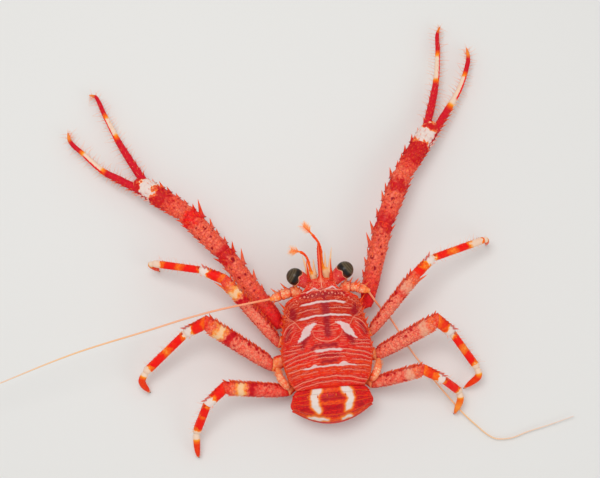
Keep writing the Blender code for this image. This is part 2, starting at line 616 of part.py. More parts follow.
def tail_spines(start):
    """The row of short spines along the front ridge of the second somite."""
    spines = []
    for x in [side * x for x in TAIL_SPINES for side in SIDES.values()]:
        foot = fold_point(start + TAIL_SPINE_PLACE, ABDOMEN_ARCH * x ** 2, x)
        tip = foot + TAIL_SPINE_WAY * TAIL_SPINE_LENGTH
        spines.append((foot - TAIL_SPINE_WAY * SPINE_SINK, tip, SHELL_RADIUS))
    return spines


def abdomen():
    start = 0.0
    for name, length, front, rear, thick, thin in SOMITES:
        ring = somite(name, start, length, (front, rear), (thick, thin))
        if name == "abdomen_2":
            fuse_spines(ring, tail_spines(start))
        start += length
    tail_fan(start)


def plate_lobe(root, way, length, half_width, thickness, tilt):
    """A thin rounded blade that grows from root along way, in the level plane but for its tilt."""
    side = way.cross(UP).normalized()
    rings = []
    for share, width in LOBE_SHAPE:
        centre = root + way * (length * share) + UP * (tilt * share * length)
        half = half_width * width
        thick = thickness * (1.0 if share < 0.6 else 0.8)
        ring = [centre + side * half * u + UP * (thick / 2 * v)
                for u, v in ((-1, 0), (-0.7, 1), (0.7, 1), (1, 0), (0.7, -1), (-0.7, -1))]
        if share == 0.0:
            ring = [point - way * ((point - centre).dot(AHEAD) / way.dot(AHEAD)) for point in ring]
        rings.append(ring)
    return loft(rings)


def tail_fan(start):
    """The telson and the paired blades beside it, folded forward beneath the body."""
    root = fold_point(start + HALF_GAP, 1.15, 0.0)
    telson = plate_lobe(root, AHEAD, TELSON_LENGTH, TELSON_HALF_WIDTH, FAN_THICKNESS, 0.12)
    new_object("telson", telson, "shell")
    for side, hand in SIDES.items():
        inner = step(1.0, 26.0, 0.0, hand)
        outer = step(1.0, 58.0, 0.0, hand)
        blade_root = root + Vector((4.25 * hand, 0.0, 0.15))
        inner_blade = plate_lobe(blade_root, inner, 5.4, 1.65, FAN_THICKNESS * 0.8, 0.10)
        outer_root = blade_root + Vector((1.0 * hand, 0.9, 0.0))
        outer_blade = plate_lobe(outer_root, outer, 5.0, 1.7, FAN_THICKNESS * 0.8, 0.05)
        blade = new_object("uropod_" + side, inner_blade, "shell")
        fuse(blade, [outer_blade])


def eyes():
    """Each eye is a short stalk and a round cornea with a flat where they meet."""
    for side, hand in SIDES.items():
        root, centre = mirror(STALK_ROOT, hand), mirror(EYE_CENTRE, hand)
        way = (centre - root).normalized()
        reach = (centre - root).length
        end = reach - EYE_CUT - GAP
        neck = math.sqrt(EYE_RADIUS ** 2 - EYE_CUT ** 2)
        centres = [root + way * (end * share) for share in (0.0, 0.35, 0.75, 1.0)]
        widths = [2 * neck * share for share in (0.62, 0.66, 0.84, 0.96)]
        stalk = Limb(centres, widths, widths, hand, sides=10)
        new_object("eyestalk_" + side, stalk.body(), "stalk")
        angles = [math.acos(-EYE_CUT / EYE_RADIUS) * (1 - k / 7) for k in range(8)]
        angles[-1] = 0.12
        places = [centre + way * (EYE_RADIUS * math.cos(angle)) for angle in angles]
        spans = [2 * EYE_RADIUS * math.sin(angle) for angle in angles]
        ball = Limb(places, spans, spans, hand, start_face=way, end_face=way, sides=14)
        ball.along = [way] * len(places)
        ball.faces = [way] * len(places)
        new_object("eye_" + side, ball.body(), "eye")


def antennules():
    """The short inner feelers: a thick root segment with two spines, then a thin bent stem."""
    for side, hand in SIDES.items():
        points = [mirror(point, hand) for point in ANTENNULE_ROUTES[side]]
        centres = points[:2] + smooth_path(points[2:], 7)
        widths = ANTENNULE_WIDTHS
        limb = Limb(centres, widths, [w * 0.85 for w in widths], hand, start_face=AHEAD, sides=6)
        obj = new_object("antennule_" + side, limb.body(), "feeler")
        fuse_spines(obj, [limb.spine(*spine, BASAL_RADIUS, BASAL_LEAN) for spine in BASAL_SPINES[side]])


def antennae():
    """The long outer feelers: a jointed root that runs sideways, then a whip."""
    for side, hand in SIDES.items():
        points = [mirror(point, hand) for point in ANTENNA_ROOTS[side]]
        centres = smooth_path(points, 7)
        widths = [PEDUNCLE_WIDTH * share for share in PEDUNCLE_SHAPE]
        whip_points = [points[-1]] + [mirror(point, hand) for point in WHIP_ROUTES[side]]
        way = (whip_points[1] - whip_points[0]).normalized()
        end_way = (way + (points[-1] - points[-2]).normalized()).normalized()
        limb = Limb(centres, widths, [w * 0.9 for w in widths], hand, end_face=end_way, sides=7)
        obj = new_object("antenna_base_" + side, limb.body(), "feeler")
        spines = [limb.spine(*spine, FEELER_SPINE_RADIUS, FEELER_SPINE_LEAN) for spine in FEELER_ROOT_SPINES]
        fuse_spines(obj, spines)
        whip_points[0] = points[-1] + way * (1.5 * GAP / way.dot(end_way))
        feeler("antenna_flagellum_" + side, whip_points)


def feeler(name, points):
    """A tapering whip as a bevelled curve."""
    length = sum((b - a).length for a, b in zip(points, points[1:]))
    route = smooth_path(points, int(length / FLAGELLUM_STEP) + 1)
    curve = bpy.data.curves.new(name, "CURVE")
    curve.dimensions = "3D"
    curve.bevel_depth = FLAGELLUM_RADIUS * MM
    curve.bevel_resolution = 1
    curve.use_fill_caps = True
    spline = curve.splines.new("POLY")
    spline.points.add(len(route) - 1)
    for index, (point, place) in enumerate(zip(spline.points, route)):
        share = index / (len(route) - 1)
        point.co = (*((place - ORIGIN) * MM), 1.0)
        point.radius = 1.0 + (FLAGELLUM_TIP_RADIUS / FLAGELLUM_RADIUS - 1.0) * share ** 1.5
    obj = bpy.data.objects.new(name, curve)
    PARTS.objects.link(obj)
    curve.materials.append(new_material(name, "feeler"))
    return obj


def maxillipeds():
    """The outer mouth limbs: they reach ahead under the feelers and fold down at the tip."""
    for side, hand in SIDES.items():
        points = [mirror(point, hand) for point in MAXILLIPED_ROUTE]
        widths = MAXILLIPED_WIDTHS
        limb = Limb(smooth_path(points, len(widths)), widths, [w * 0.9 for w in widths], hand,
                    start_face=AHEAD, sides=7)
        new_object("maxilliped_" + side, limb.body(), "belly")


def shaft(start, end, start_face, end_face, shape, width, height, hand, bow=0.0, sides=8):
    """A limb segment between two joints, with its ends cut on the joints' planes."""
    way = (end - start).normalized()
    first = start + way * (HALF_GAP / way.dot(start_face))
    final = end - way * (HALF_GAP / way.dot(end_face))
    side = way.cross(UP).normalized() * hand
    centres = [first.lerp(final, place) + side * (bow * math.sin(math.pi * place)) for place, _ in shape]
    widths = [width * share for _, share in shape]
    heights = [height * share for _, share in shape]
    limb = Limb(centres, widths, heights, hand, start_face, end_face, sides)
    limb.along = [way] * len(centres)
    limb.faces = []
    for centre in centres:
        near_start = max(1.0 - (centre - first).length / (JOINT_EASE * width), 0.0)
        near_end = max(1.0 - (final - centre).length / (JOINT_EASE * width), 0.0)
        lean = (start_face - way) * near_start + (end_face - way) * near_end
        limb.faces.append((way + lean).normalized())
    return limb


def chela_finger(root, steps, width, hand, start_face, sink=0.0):
    """A long finger: a tapered curve with a hooked tip."""
    points = [root]
    for part in steps:
        points.append(points[-1] + step(*part, hand))
    way = (points[1] - points[0]).normalized()
    points[0] = root + way * (HALF_GAP / way.dot(start_face) if sink == 0.0 else -sink)
    centres = smooth_path(points, 10)
    widths = [width * between(FINGER_TAPER, k / 9) for k in range(10)]
    return Limb(centres, widths, [w * 0.95 for w in widths], hand, start_face, None, sides=7)


def cheliped(side, hand):
    """One long claw-bearing limb, from its short first segment to its two fingers."""
    varied = random.Random(SEED + hand)
    sizes, plan = CHELIPED_WIDTHS, CHELIPEDS[side]
    joints = [mirror(plan["root"], hand)]
    for part in ("merus", "carpus", "palm"):
        joints.append(joints[-1] + step(*plan[part], hand))
    ways = [(b - a).normalized() for a, b in zip(joints, joints[1:])]
    beside = smooth_between(STERNUM_HALF_WIDTHS, plan["base"]) + 2 * GAP
    start = mirror((beside, plan["base"], 5.9), hand)
    first_way = (joints[0] - start).normalized()
    faces = [(a + b).normalized() for a, b in zip([first_way] + ways, ways)] + [ways[-1]]
    outward = Vector((hand, 0.0, 0.0))
    ischium = shaft(start, joints[0], outward, faces[0], ((0.0, 0.8), (0.5, 0.95), (1.0, 0.83)),
                    sizes["ischium"], sizes["ischium"] * 0.9, hand)
    new_object("cheliped_ischium_" + side, ischium.body(), "limb")
    shapes = {"merus": MERUS_SHAPE, "carpus": CARPUS_SHAPE, "palm": PALM_SHAPE}
    for index, part in enumerate(("merus", "carpus", "palm")):
        width = sizes[part]
        height = width * (0.86 if part != "palm" else 0.74)
        limb = shaft(joints[index], joints[index + 1], faces[index], faces[index + 1], shapes[part],
                     width, height, hand, sides=10)
        obj = new_object("cheliped_%s_%s" % (part, side), limb.body(), "limb")
        spines = [limb.spine(place, INNER_ANGLE, length, INNER_RADIUS + INNER_GROWTH * length, INNER_LEAN)
                  for place, length in INNER_SPINES[side][part]]
        spines += claw_rows(limb, part, varied)
        if part == "palm":
            across = ways[-1].cross(UP).normalized() * hand
            thumb_root = joints[-1] + across * FINGER_OFFSET
            thumb = chela_finger(thumb_root, plan["thumb"], sizes["thumb"], hand, ways[-1], sink=2.4)
            spines += claw_rows(thumb, "thumb", varied)
            fuse(obj, [thumb.body()])
            finger_root = joints[-1] - across * FINGER_OFFSET
            finger = chela_finger(finger_root, plan["finger"], sizes["finger"], hand, ways[-1])
            finger_object = new_object("cheliped_finger_" + side, finger.body(), "limb")
            fuse_spines(finger_object, claw_rows(finger, "finger", varied))
        fuse_spines(obj, spines)


def claw_rows(limb, part, varied):
    """The short spines of one claw segment."""
    spines = []
    for row in CLAW_ROWS[part]:
        spines += spine_row(limb, *row, CLAW_RADIUS, CLAW_LEAN, varied)
    return spines


def walking_leg(name, leg):
    """One walking leg: merus, carpus, propodus, and a curved dactyl that stands on its tip."""
    hand = SIDES[name.rsplit("_", 1)[1]]
    varied = random.Random(name)
    base = mirror(leg["base"], hand)
    joints = [mirror(leg["root"], hand)]
    for part in ("merus", "carpus", "propodus"):
        joints.append(joints[-1] + step(*leg[part], hand))
    ways = [(b - a).normalized() for a, b in zip(joints, joints[1:])]
    tip = mirror((*leg["tip"], 0.0), hand)
    foot = joints[-1] + step(*leg["foot"], hand)
    ways.append((foot - joints[-1]).normalized())
    first_way = (joints[0] - base).normalized()
    faces = [(a + b).normalized() for a, b in zip([first_way] + ways, ways)]
    shapes = {"merus": MERUS_SHAPE, "carpus": CARPUS_SHAPE, "propodus": PROPODUS_SHAPE}
    for index, part in enumerate(("merus", "carpus", "propodus")):
        width = leg["widths"][index]
        limb = shaft(joints[index], joints[index + 1], faces[index], faces[index + 1], shapes[part],
                     width, width * 0.78, hand)
        obj = new_object("%s_%s" % (part, name), limb.body(), "limb")
        spines = []
        for row in LEG_ROWS[part]:
            spines += spine_row(limb, *row, LEG_RADIUS, LEG_LEAN, varied)
        if part == "merus":
            place, length, radius = LEG_END_SPINES[name[:5]]
            spines.append(limb.spine(place, LEG_END_ANGLE, length, radius, LEG_END_LEAN))
        fuse_spines(obj, spines)
    start = joints[-1] + ways[-1] * (HALF_GAP / ways[-1].dot(faces[-1]))
    above_tip = tip + Vector((0.0, 0.0, 1.6)) + (foot - tip) * 0.12
    centres = smooth_path([start, foot, above_tip, tip], 7)
    centres[-1].z = 0.0
    width = leg["widths"][3]
    widths = [width * between(DACTYL_TAPER, k / 6) for k in range(7)]
    widths[-1] = FOOT_FLAT
    dactyl = Limb(centres, widths, [w * 0.9 for w in widths], hand, faces[-1], -UP, sides=7)
    new_object("dactyl_" + name, dactyl.body(), "foot")


def cleaning_legs():
    """The small last legs, laid along the sides of the carapace."""
    for side, hand in SIDES.items():
        points = [mirror(point, hand) for point in LAST_LEG_ROUTE]
        widths = LAST_LEG_WIDTHS
        limb = Limb(smooth_path(points, len(widths)), widths, widths, hand, UP, sides=6)
        new_object("leg_5_" + side, limb.body(), "feeler")


def main():
    carapace()
    sternum()
    abdomen()
    eyes()
    antennules()
    antennae()
    maxillipeds()
    for side, hand in SIDES.items():
        cheliped(side, hand)
    for name, leg in LEGS.items():
        walking_leg(name, leg)
    cleaning_legs()


for old in list(bpy.data.objects):
    bpy.data.objects.remove(old)
PARTS = bpy.data.collections.new("munida squat lobster")
bpy.context.scene.collection.children.link(PARTS)
main()
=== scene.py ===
# A munida squat lobster at life size: its finished shell, limbs and hairs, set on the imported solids.
# Lengths are in millimetres about the middle of the carapace, with the head along +Y and the animal's
# right side at +X. Each piece is turned into metres about the floor under the tail as it is made.
import math

import bpy
import numpy as np
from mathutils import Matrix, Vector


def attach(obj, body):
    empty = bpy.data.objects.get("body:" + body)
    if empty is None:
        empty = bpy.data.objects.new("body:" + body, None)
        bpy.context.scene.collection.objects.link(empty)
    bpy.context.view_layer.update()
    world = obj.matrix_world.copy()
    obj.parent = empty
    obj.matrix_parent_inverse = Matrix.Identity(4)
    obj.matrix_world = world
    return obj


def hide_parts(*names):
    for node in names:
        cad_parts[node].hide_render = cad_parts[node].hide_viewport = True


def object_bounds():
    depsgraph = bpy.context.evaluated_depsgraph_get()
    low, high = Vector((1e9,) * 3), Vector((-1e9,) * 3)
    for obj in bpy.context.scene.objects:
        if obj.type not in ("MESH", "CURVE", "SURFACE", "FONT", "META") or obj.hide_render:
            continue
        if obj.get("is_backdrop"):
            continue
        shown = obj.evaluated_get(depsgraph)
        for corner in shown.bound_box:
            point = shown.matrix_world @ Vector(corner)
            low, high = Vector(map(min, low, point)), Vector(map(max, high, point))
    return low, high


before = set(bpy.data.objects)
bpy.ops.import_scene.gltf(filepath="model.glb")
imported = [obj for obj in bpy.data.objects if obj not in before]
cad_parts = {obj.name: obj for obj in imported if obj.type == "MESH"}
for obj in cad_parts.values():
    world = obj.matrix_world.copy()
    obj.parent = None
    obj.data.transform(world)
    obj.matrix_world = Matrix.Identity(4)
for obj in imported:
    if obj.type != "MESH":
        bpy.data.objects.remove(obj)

cadLow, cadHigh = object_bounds()

mm = 0.001
tailRest = 11.6           # how far the floor point under the tail lies behind the carapace's middle
gap = 0.3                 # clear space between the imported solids
sides = {"left": -1, "right": 1}
up = np.array([0.0, 0.0, 1.0])
ahead = np.array([0.0, 1.0, 0.0])
turnOnce = 2 * math.pi


# Numbers and curves

def unit(vectors):
    vectors = np.asarray(vectors, float)
    return vectors / np.maximum(np.linalg.norm(vectors, axis=-1, keepdims=True), 1e-9)


def mirrored(point, hand):
    return np.array([point[0] * hand, point[1], point[2]], float)


# a step from its length, heading out from straight ahead, and pitch
def stride(length, heading, pitch, hand):
    turn, rise = math.radians(heading), math.radians(pitch)
    level = length * math.cos(rise)
    return np.array([level * math.sin(turn) * hand, level * math.cos(turn), length * math.sin(rise)])


def smoothBetween(stops, at):  # a smooth curve through (place, value) stops, where a value may be a point
    places = np.array([stop[0] for stop in stops], float)
    values = np.array([stop[1] for stop in stops], float)
    at = np.clip(np.asarray(at, float), places[0], places[-1])
    index = np.clip(np.searchsorted(places, at, side="left") - 1, 0, len(places) - 2)
    order = np.arange(len(places))
    low, high = np.maximum(order - 1, 0), np.minimum(order + 1, len(places) - 1)
    shape = (-1,) + (1,) * (values.ndim - 1)
    slopes = (values[high] - values[low]) / (places[high] - places[low]).reshape(shape)
    span = places[index + 1] - places[index]
    t = (at - places[index]) / span
    if values.ndim > 1:
        span, t = span[..., None], t[..., None]
    return ((2 * t ** 3 - 3 * t ** 2 + 1) * values[index] + (t ** 3 - 2 * t ** 2 + t) * slopes[index] * span
            + (3 * t ** 2 - 2 * t ** 3) * values[index + 1] + (t ** 3 - t ** 2) * slopes[index + 1] * span)


def smoothPath(points, count):
    points = [np.asarray(point, float) for point in points]
    knots = [0.0]
    for a, b in zip(points, points[1:]):
        knots.append(knots[-1] + np.linalg.norm(b - a))
    return smoothBetween(list(zip(knots, points)), np.linspace(0.0, knots[-1], count))


def eased(low, high, values):  # 0 below low, 1 above high, smooth between
    t = np.clip((np.asarray(values, float) - low) / (high - low), 0.0, 1.0)
    return t * t * (3 - 2 * t)


def between(first, last, values, before, after):  # 1 from first to last, eased from before to after each end
    return eased(first - before, first + after, values) * eased(-last - before, -last + after, -values)


def fullTurn(count):
    return np.linspace(0.0, turnOnce, count, endpoint=False)


def turnedFrom(angle, middle):  # how far an angle is turned from another, from minus to plus half a turn
    return (angle - middle + math.pi) % turnOnce - math.pi


def ovals(centres, across, over, halfWidths, halfHeights, count):  # rings of points about a line
    turns = fullTurn(count)
    return (centres[:, None] + across * (halfWidths * np.cos(turns))[..., None]
            + over * (halfHeights * np.sin(turns))[..., None])


def chance(*keys):  # the same number from 0 to 1 for the same keys
    mixed = sum(np.asarray(key, float) * factor for key, factor in zip(keys, (127.1, 311.7, 74.7, 191.3)))
    return np.mod(np.abs(np.sin(mixed) * 43758.5453), 1.0)


def ripple(points, size, seed):  # slow seeded waves over a surface, about -1 to 1
    rng = np.random.default_rng(seed)
    total = 0.0
    for _ in range(6):
        way = unit(rng.normal(size=3))
        waves = points @ way * (turnOnce / size) * rng.uniform(0.6, 1.6)
        total = total + np.sin(waves + rng.uniform(0, turnOnce))
    return total / 3.2


def lineDistance(x, y, path, count):  # how far each place lies from a smooth line through (x, y) points
    marks = smoothPath(path, count)
    return np.min(np.hypot(x[..., None] - marks[:, 0], y[..., None] - marks[:, 1]), axis=-1)


def painted(x, y, paths, edge, wider=0.0):  # 1 inside painted strokes of (x, y, width) stops, 0 outside
    best = np.full(np.shape(x), 1e9)
    for path in paths:
        for markX, markY, width in smoothPath(path, 40):
            best = np.minimum(best, np.hypot(x - markX, y - markY) - (width + wider) / 2)
    return 1.0 - eased(-edge, edge, best)


# Gathering surfaces into pieces

maskNames = ("along", "pale", "stria", "dark", "tip", "joint")


class Form:  # closed surfaces and their masks, gathered until they become one mesh
    def __init__(self):
        self.points, self.quads, self.tris, self.uvs = [], [], [], []
        self.masks = {name: [] for name in maskNames}
        self.size = 0

    def add(self, points, quads, tris, uv=None, **masks):
        points = np.asarray(points, float).reshape(-1, 3)
        quads = np.asarray(quads, int).reshape(-1, 4)
        tris = np.asarray(tris, int).reshape(-1, 3)
        fans = np.concatenate([quads[:, [0, 1, 2]], quads[:, [0, 2, 3]], tris])
        a, b, c = (points[fans[:, k]] - points[0] for k in range(3))
        if np.einsum("ij,ij->i", a, np.cross(b, c)).sum() < 0:  # turned inside out
            quads, tris = quads[:, ::-1], tris[:, ::-1]
        self.points.append(points)
        self.quads.append(quads + self.size)
        self.tris.append(tris + self.size)
        for name in maskNames:
            value = np.asarray(masks.get(name, 0.0), float).reshape(-1)
            self.masks[name].append(np.broadcast_to(value, (len(points),)))
        if uv is not None:
            self.uvs.append(uv)
        self.size += len(points)

    def tube(self, rings, first=None, last=None, **masks):  # rings (n, m, 3), each end closed to a point
        rings = np.asarray(rings, float)
        n, m = rings.shape[:2]
        index = np.arange(n * m).reshape(n, m)
        after = np.roll(index, -1, axis=1)
        quads = np.stack([index[:-1], after[:-1], after[1:], index[1:]], axis=-1).reshape(-1, 4)
        first = rings[0].mean(axis=0) if first is None else first
        last = rings[-1].mean(axis=0) if last is None else last
        points = np.concatenate([rings.reshape(-1, 3), [first, last]])
        startFan = np.stack([after[0], index[0], np.full(m, n * m)], axis=-1)
        endFan = np.stack([index[-1], after[-1], np.full(m, n * m + 1)], axis=-1)
        grown = {}
        for name, value in masks.items():
            value = np.broadcast_to(np.asarray(value, float), (n, m))
            ends = [value[0].mean(), value[-1].mean()]
            grown[name] = np.concatenate([value.reshape(-1), ends])
        self.add(points, quads, np.concatenate([startFan, endFan]), **grown)

    def spine(self, root, tip, radius, facets=9, bend=0.0, flare=(0.75, 10), power=0.85, **masks):
        # a tapered spine with a flared root
        root, tip = np.asarray(root, float), np.asarray(tip, float)
        way = unit(tip - root)
        across = unit(np.cross(way, up if abs(way[2]) < 0.9 else ahead))
        over = np.cross(across, way)
        length = np.linalg.norm(tip - root)
        shares = np.array([0.0, 0.05, 0.10, 0.2, 0.33, 0.5, 0.68, 0.84, 0.95])
        radii = (radius * (1 - shares) ** power * (1 + flare[0] * np.exp(-shares * flare[1])))[:, None]
        centres = root + way * (length * shares)[:, None] + over * (bend * np.sin(math.pi * shares))[:, None]
        rings = ovals(centres, across, over, radii, radii, facets)
        self.tube(rings, last=tip, tip=np.repeat(shares[:, None], facets, axis=1), **masks)

    def hairs(self, roots, ways, lengths, width, uv, droop=0.22, seed=1):  # thin bent hairs of three sides
        roots, ways = np.asarray(roots, float).reshape(-1, 3), unit(ways).reshape(-1, 3)
        count = len(roots)
        if not count:
            return
        rng = np.random.default_rng(seed)
        lengths = np.broadcast_to(np.asarray(lengths, float), (count,)) * rng.uniform(0.75, 1.15, count)
        helper = np.where(np.abs(ways[:, 2:3]) < 0.9, up, ahead)
        across = unit(np.cross(ways, helper))
        over = np.cross(across, ways)
        lean = rng.uniform(0, turnOnce, count)[:, None]
        bend = across * np.cos(lean) + over * np.sin(lean)
        shares = np.array([0.0, 0.4, 0.75])
        centres = (roots[:, None] + ways[:, None] * (lengths[:, None] * shares)[..., None]
                   + bend[:, None] * (droop * lengths[:, None] * shares ** 2)[..., None])
        turns = np.arange(3) * turnOnce / 3
        around = across[:, None] * np.cos(turns)[:, None] + over[:, None] * np.sin(turns)[:, None]
        radii = width / 2 * (1 - 0.72 * shares)
        rings = centres[:, :, None] + radii[None, :, None, None] * around[:, None]
        tips = roots + ways * lengths[:, None] + bend * (droop * lengths)[:, None]
        points = np.concatenate([rings.reshape(count, 9, 3), tips[:, None]], axis=1)
        k = np.arange(3)
        n = (k + 1) % 3
        quads = np.concatenate([np.stack([k + 3 * r, n + 3 * r, n + 3 * r + 3, k + 3 * r + 3],
                                         -1) for r in (0, 1)])
        tris = np.concatenate([np.stack([k + 6, n + 6, np.full(3, 9)], -1), [[2, 1, 0]]])
        starts = (np.arange(count) * 10)[:, None, None]
        patch = 0.003
        shift = np.concatenate([np.stack(np.meshgrid(k, (0, 1, 2), indexing="xy"), -1).reshape(9, 2),
                                [[1, 3]]])
        spread = np.asarray(uv, float).reshape(-1, 1, 2) + shift[None] * patch / 3
        tipMask = np.tile(np.append(np.repeat(shares, 3), 1.0), count)
        self.add(points, quads + starts, tris + starts, uv=spread.reshape(-1, 2), tip=tipMask)


def toRow(points):  # from millimetres about the carapace to metres about the floor point
    return (np.asarray(points, float) + np.array([0.0, tailRest, 0.0])) * mm


triangleCount = 0


def makePiece(name, form, material, replaces=()):
    global triangleCount
    points, quads, tris = (np.concatenate(rows) for rows in (form.points, form.quads, form.tris))
    corners = np.concatenate([quads.ravel(), tris.ravel()]).astype(np.int32)
    starts = np.concatenate([np.arange(len(quads)) * 4, len(quads) * 4 + np.arange(len(tris)) * 3])
    mesh = bpy.data.meshes.new(name)
    mesh.vertices.add(len(points))
    mesh.vertices.foreach_set("co", toRow(points).astype(np.float32).ravel())
    mesh.loops.add(len(corners))
    mesh.loops.foreach_set("vertex_index", corners)
    mesh.polygons.add(len(starts))
    mesh.polygons.foreach_set("loop_start", starts.astype(np.int32))
    mesh.update(calc_edges=True)
    for maskName, rows in form.masks.items():
        values = np.concatenate(rows)
        if values.any():
            layer = mesh.attributes.new(maskName, "FLOAT", "POINT")
            layer.data.foreach_set("value", values.astype(np.float32))
    if form.uvs:
        layer = mesh.uv_layers.new(name="OFBake")
        layer.uv.foreach_set("vector", np.concatenate(form.uvs)[corners].astype(np.float32).ravel())
    mesh.shade_smooth()
    mesh.materials.append(material)
    piece = bpy.data.objects.new(name, mesh)
    bpy.context.scene.collection.objects.link(piece)
    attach(piece, "root")
    if replaces:
        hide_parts(*replaces)
    triangleCount += len(quads) * 2 + len(tris)


def report(stage):
    print(stage, "made,", triangleCount, "triangles so far")


# Limb parts

class Segment:  # a limb part: its line, its widths, and how its rings lean
    def __init__(self, centres, widths, heights, hand, faces=None, power=2.0):
        self.centres = np.array(centres, float)
        self.widths, self.heights = np.array(widths, float), np.array(heights, float)
        self.hand, self.power = hand, power
        steps = np.linalg.norm(np.diff(self.centres, axis=0), axis=1)
        self.length = steps.sum()
        self.places = np.concatenate([[0.0], np.cumsum(steps)]) / self.length
        after = np.concatenate([self.centres[1:], self.centres[-1:]])
        before = np.concatenate([self.centres[:1], self.centres[:-1]])
        self.ways = unit(after - before)
        self.faces = self.ways.copy() if faces is None else unit(faces)

    def read(self, rows, place):
        place = np.clip(place, 0.0, 1.0)
        index = np.clip(np.searchsorted(self.places, place, side="right") - 1, 0, len(self.places) - 2)
        share = (place - self.places[index]) / (self.places[index + 1] - self.places[index])
        if rows.ndim > 1:
            share = share[..., None]
        return rows[index] * (1 - share) + rows[index + 1] * share

    def axes(self, place):
        way = unit(self.read(self.ways, place))
        outer = unit(np.cross(way, up)) * self.hand
        top = unit(np.cross(way, outer)) * -self.hand
        return way, outer, top

    def surface(self, place, angle):  # points and outward directions at places along and angles round it
        place, angle = np.broadcast_arrays(np.asarray(place, float), np.asarray(angle, float))
        way, outer, top = self.axes(place)
        face = unit(self.read(self.faces, place))
        across, high = self.read(self.widths, place) / 2, self.read(self.heights, place) / 2
        c, s = np.cos(angle), np.sin(angle)
        reach = (np.abs(c) ** self.power + np.abs(s) ** self.power) ** (-1 / self.power)
        out = outer * (across * c * reach)[..., None] + top * (high * s * reach)[..., None]
        normal = unit(outer * (c / across)[..., None] + top * (s / high)[..., None])
        lean = (out * face).sum(-1) / (way * face).sum(-1)
        return self.read(self.centres, place) + out - way * lean[..., None], normal


seam = 0.03               # half the visible space at a joint
jointEase = 0.8           # share of a part's width over which its rings turn to the joint's plane


def shaft(start, end, startFace, endFace, shape, width, height, hand, power=2.0, stops=40):
    way = unit(end - start)
    first = start + way * (seam / (way @ startFace))
    final = end - way * (seam / (way @ endFace))
    shares = np.linspace(0.0, 1.0, stops)
    centres = first + (final - first) * shares[:, None]
    size = smoothBetween(shape, shares)
    reach = np.linalg.norm(final - first)
    nearStart = np.clip(1 - shares * reach / (jointEase * width), 0, 1)[:, None]
    nearEnd = np.clip(1 - (1 - shares) * reach / (jointEase * width), 0, 1)[:, None]
    faces = way + (startFace - way) * nearStart + (endFace - way) * nearEnd
    segment = Segment(centres, width * size, height * size, hand, faces, power)
    segment.ways[:] = way
    return segment


def scaleSpots(segment, scales, seed):  # where the small scales of a limb part sit: row, column, place, angle
    rows = int(segment.length / scales["pitch"])
    for i in range(rows):
        for j in range(scales["columns"]):
            if chance(i, j, seed + 3) < scales["cover"]:
                place = (i + 0.5 + 0.5 * (chance(i, j, seed) - 0.5)) / rows
                turn = (j + 0.5 + 0.5 * (i % 2) + 0.3 * (chance(i, j, seed + 1) - 0.5)) / scales["columns"]
                yield float(place), float(turn) * turnOnce, float(0.65 + 0.35 * chance(i, j, seed + 2))


def scaleField(segment, place, angle, scales, seed):  # lift in mm and a mask of the scales' front edges
    lift, edge = np.zeros(np.broadcast(place, angle).shape), np.zeros(np.broadcast(place, angle).shape)
    wide = 0.5 * turnOnce / scales["columns"]
    pitch = scales["pitch"] / segment.length
    for where, turn, size in scaleSpots(segment, scales, seed):
        near = np.abs(place[:, 0] - where) < pitch * 1.3
        if not near.any():
            continue
        off = turnedFrom(angle, turn)
        side = np.clip(1 - (off / (wide * size)) ** 2, 0, 1)
        forward = (place[near] - where) / pitch + 0.25 * (off / wide) ** 2
        bump = np.where(forward < 0, np.clip(1 + forward / 0.8, 0, 1) ** 1.5,
                        np.clip(1 - forward / 0.14, 0, 1))
        lift[near] = np.maximum(lift[near], bump * side ** 0.7 * size)
        edge[near] = np.maximum(edge[near], np.exp(-(forward / 0.13) ** 2) * side)
    return lift * scales["rise"], edge


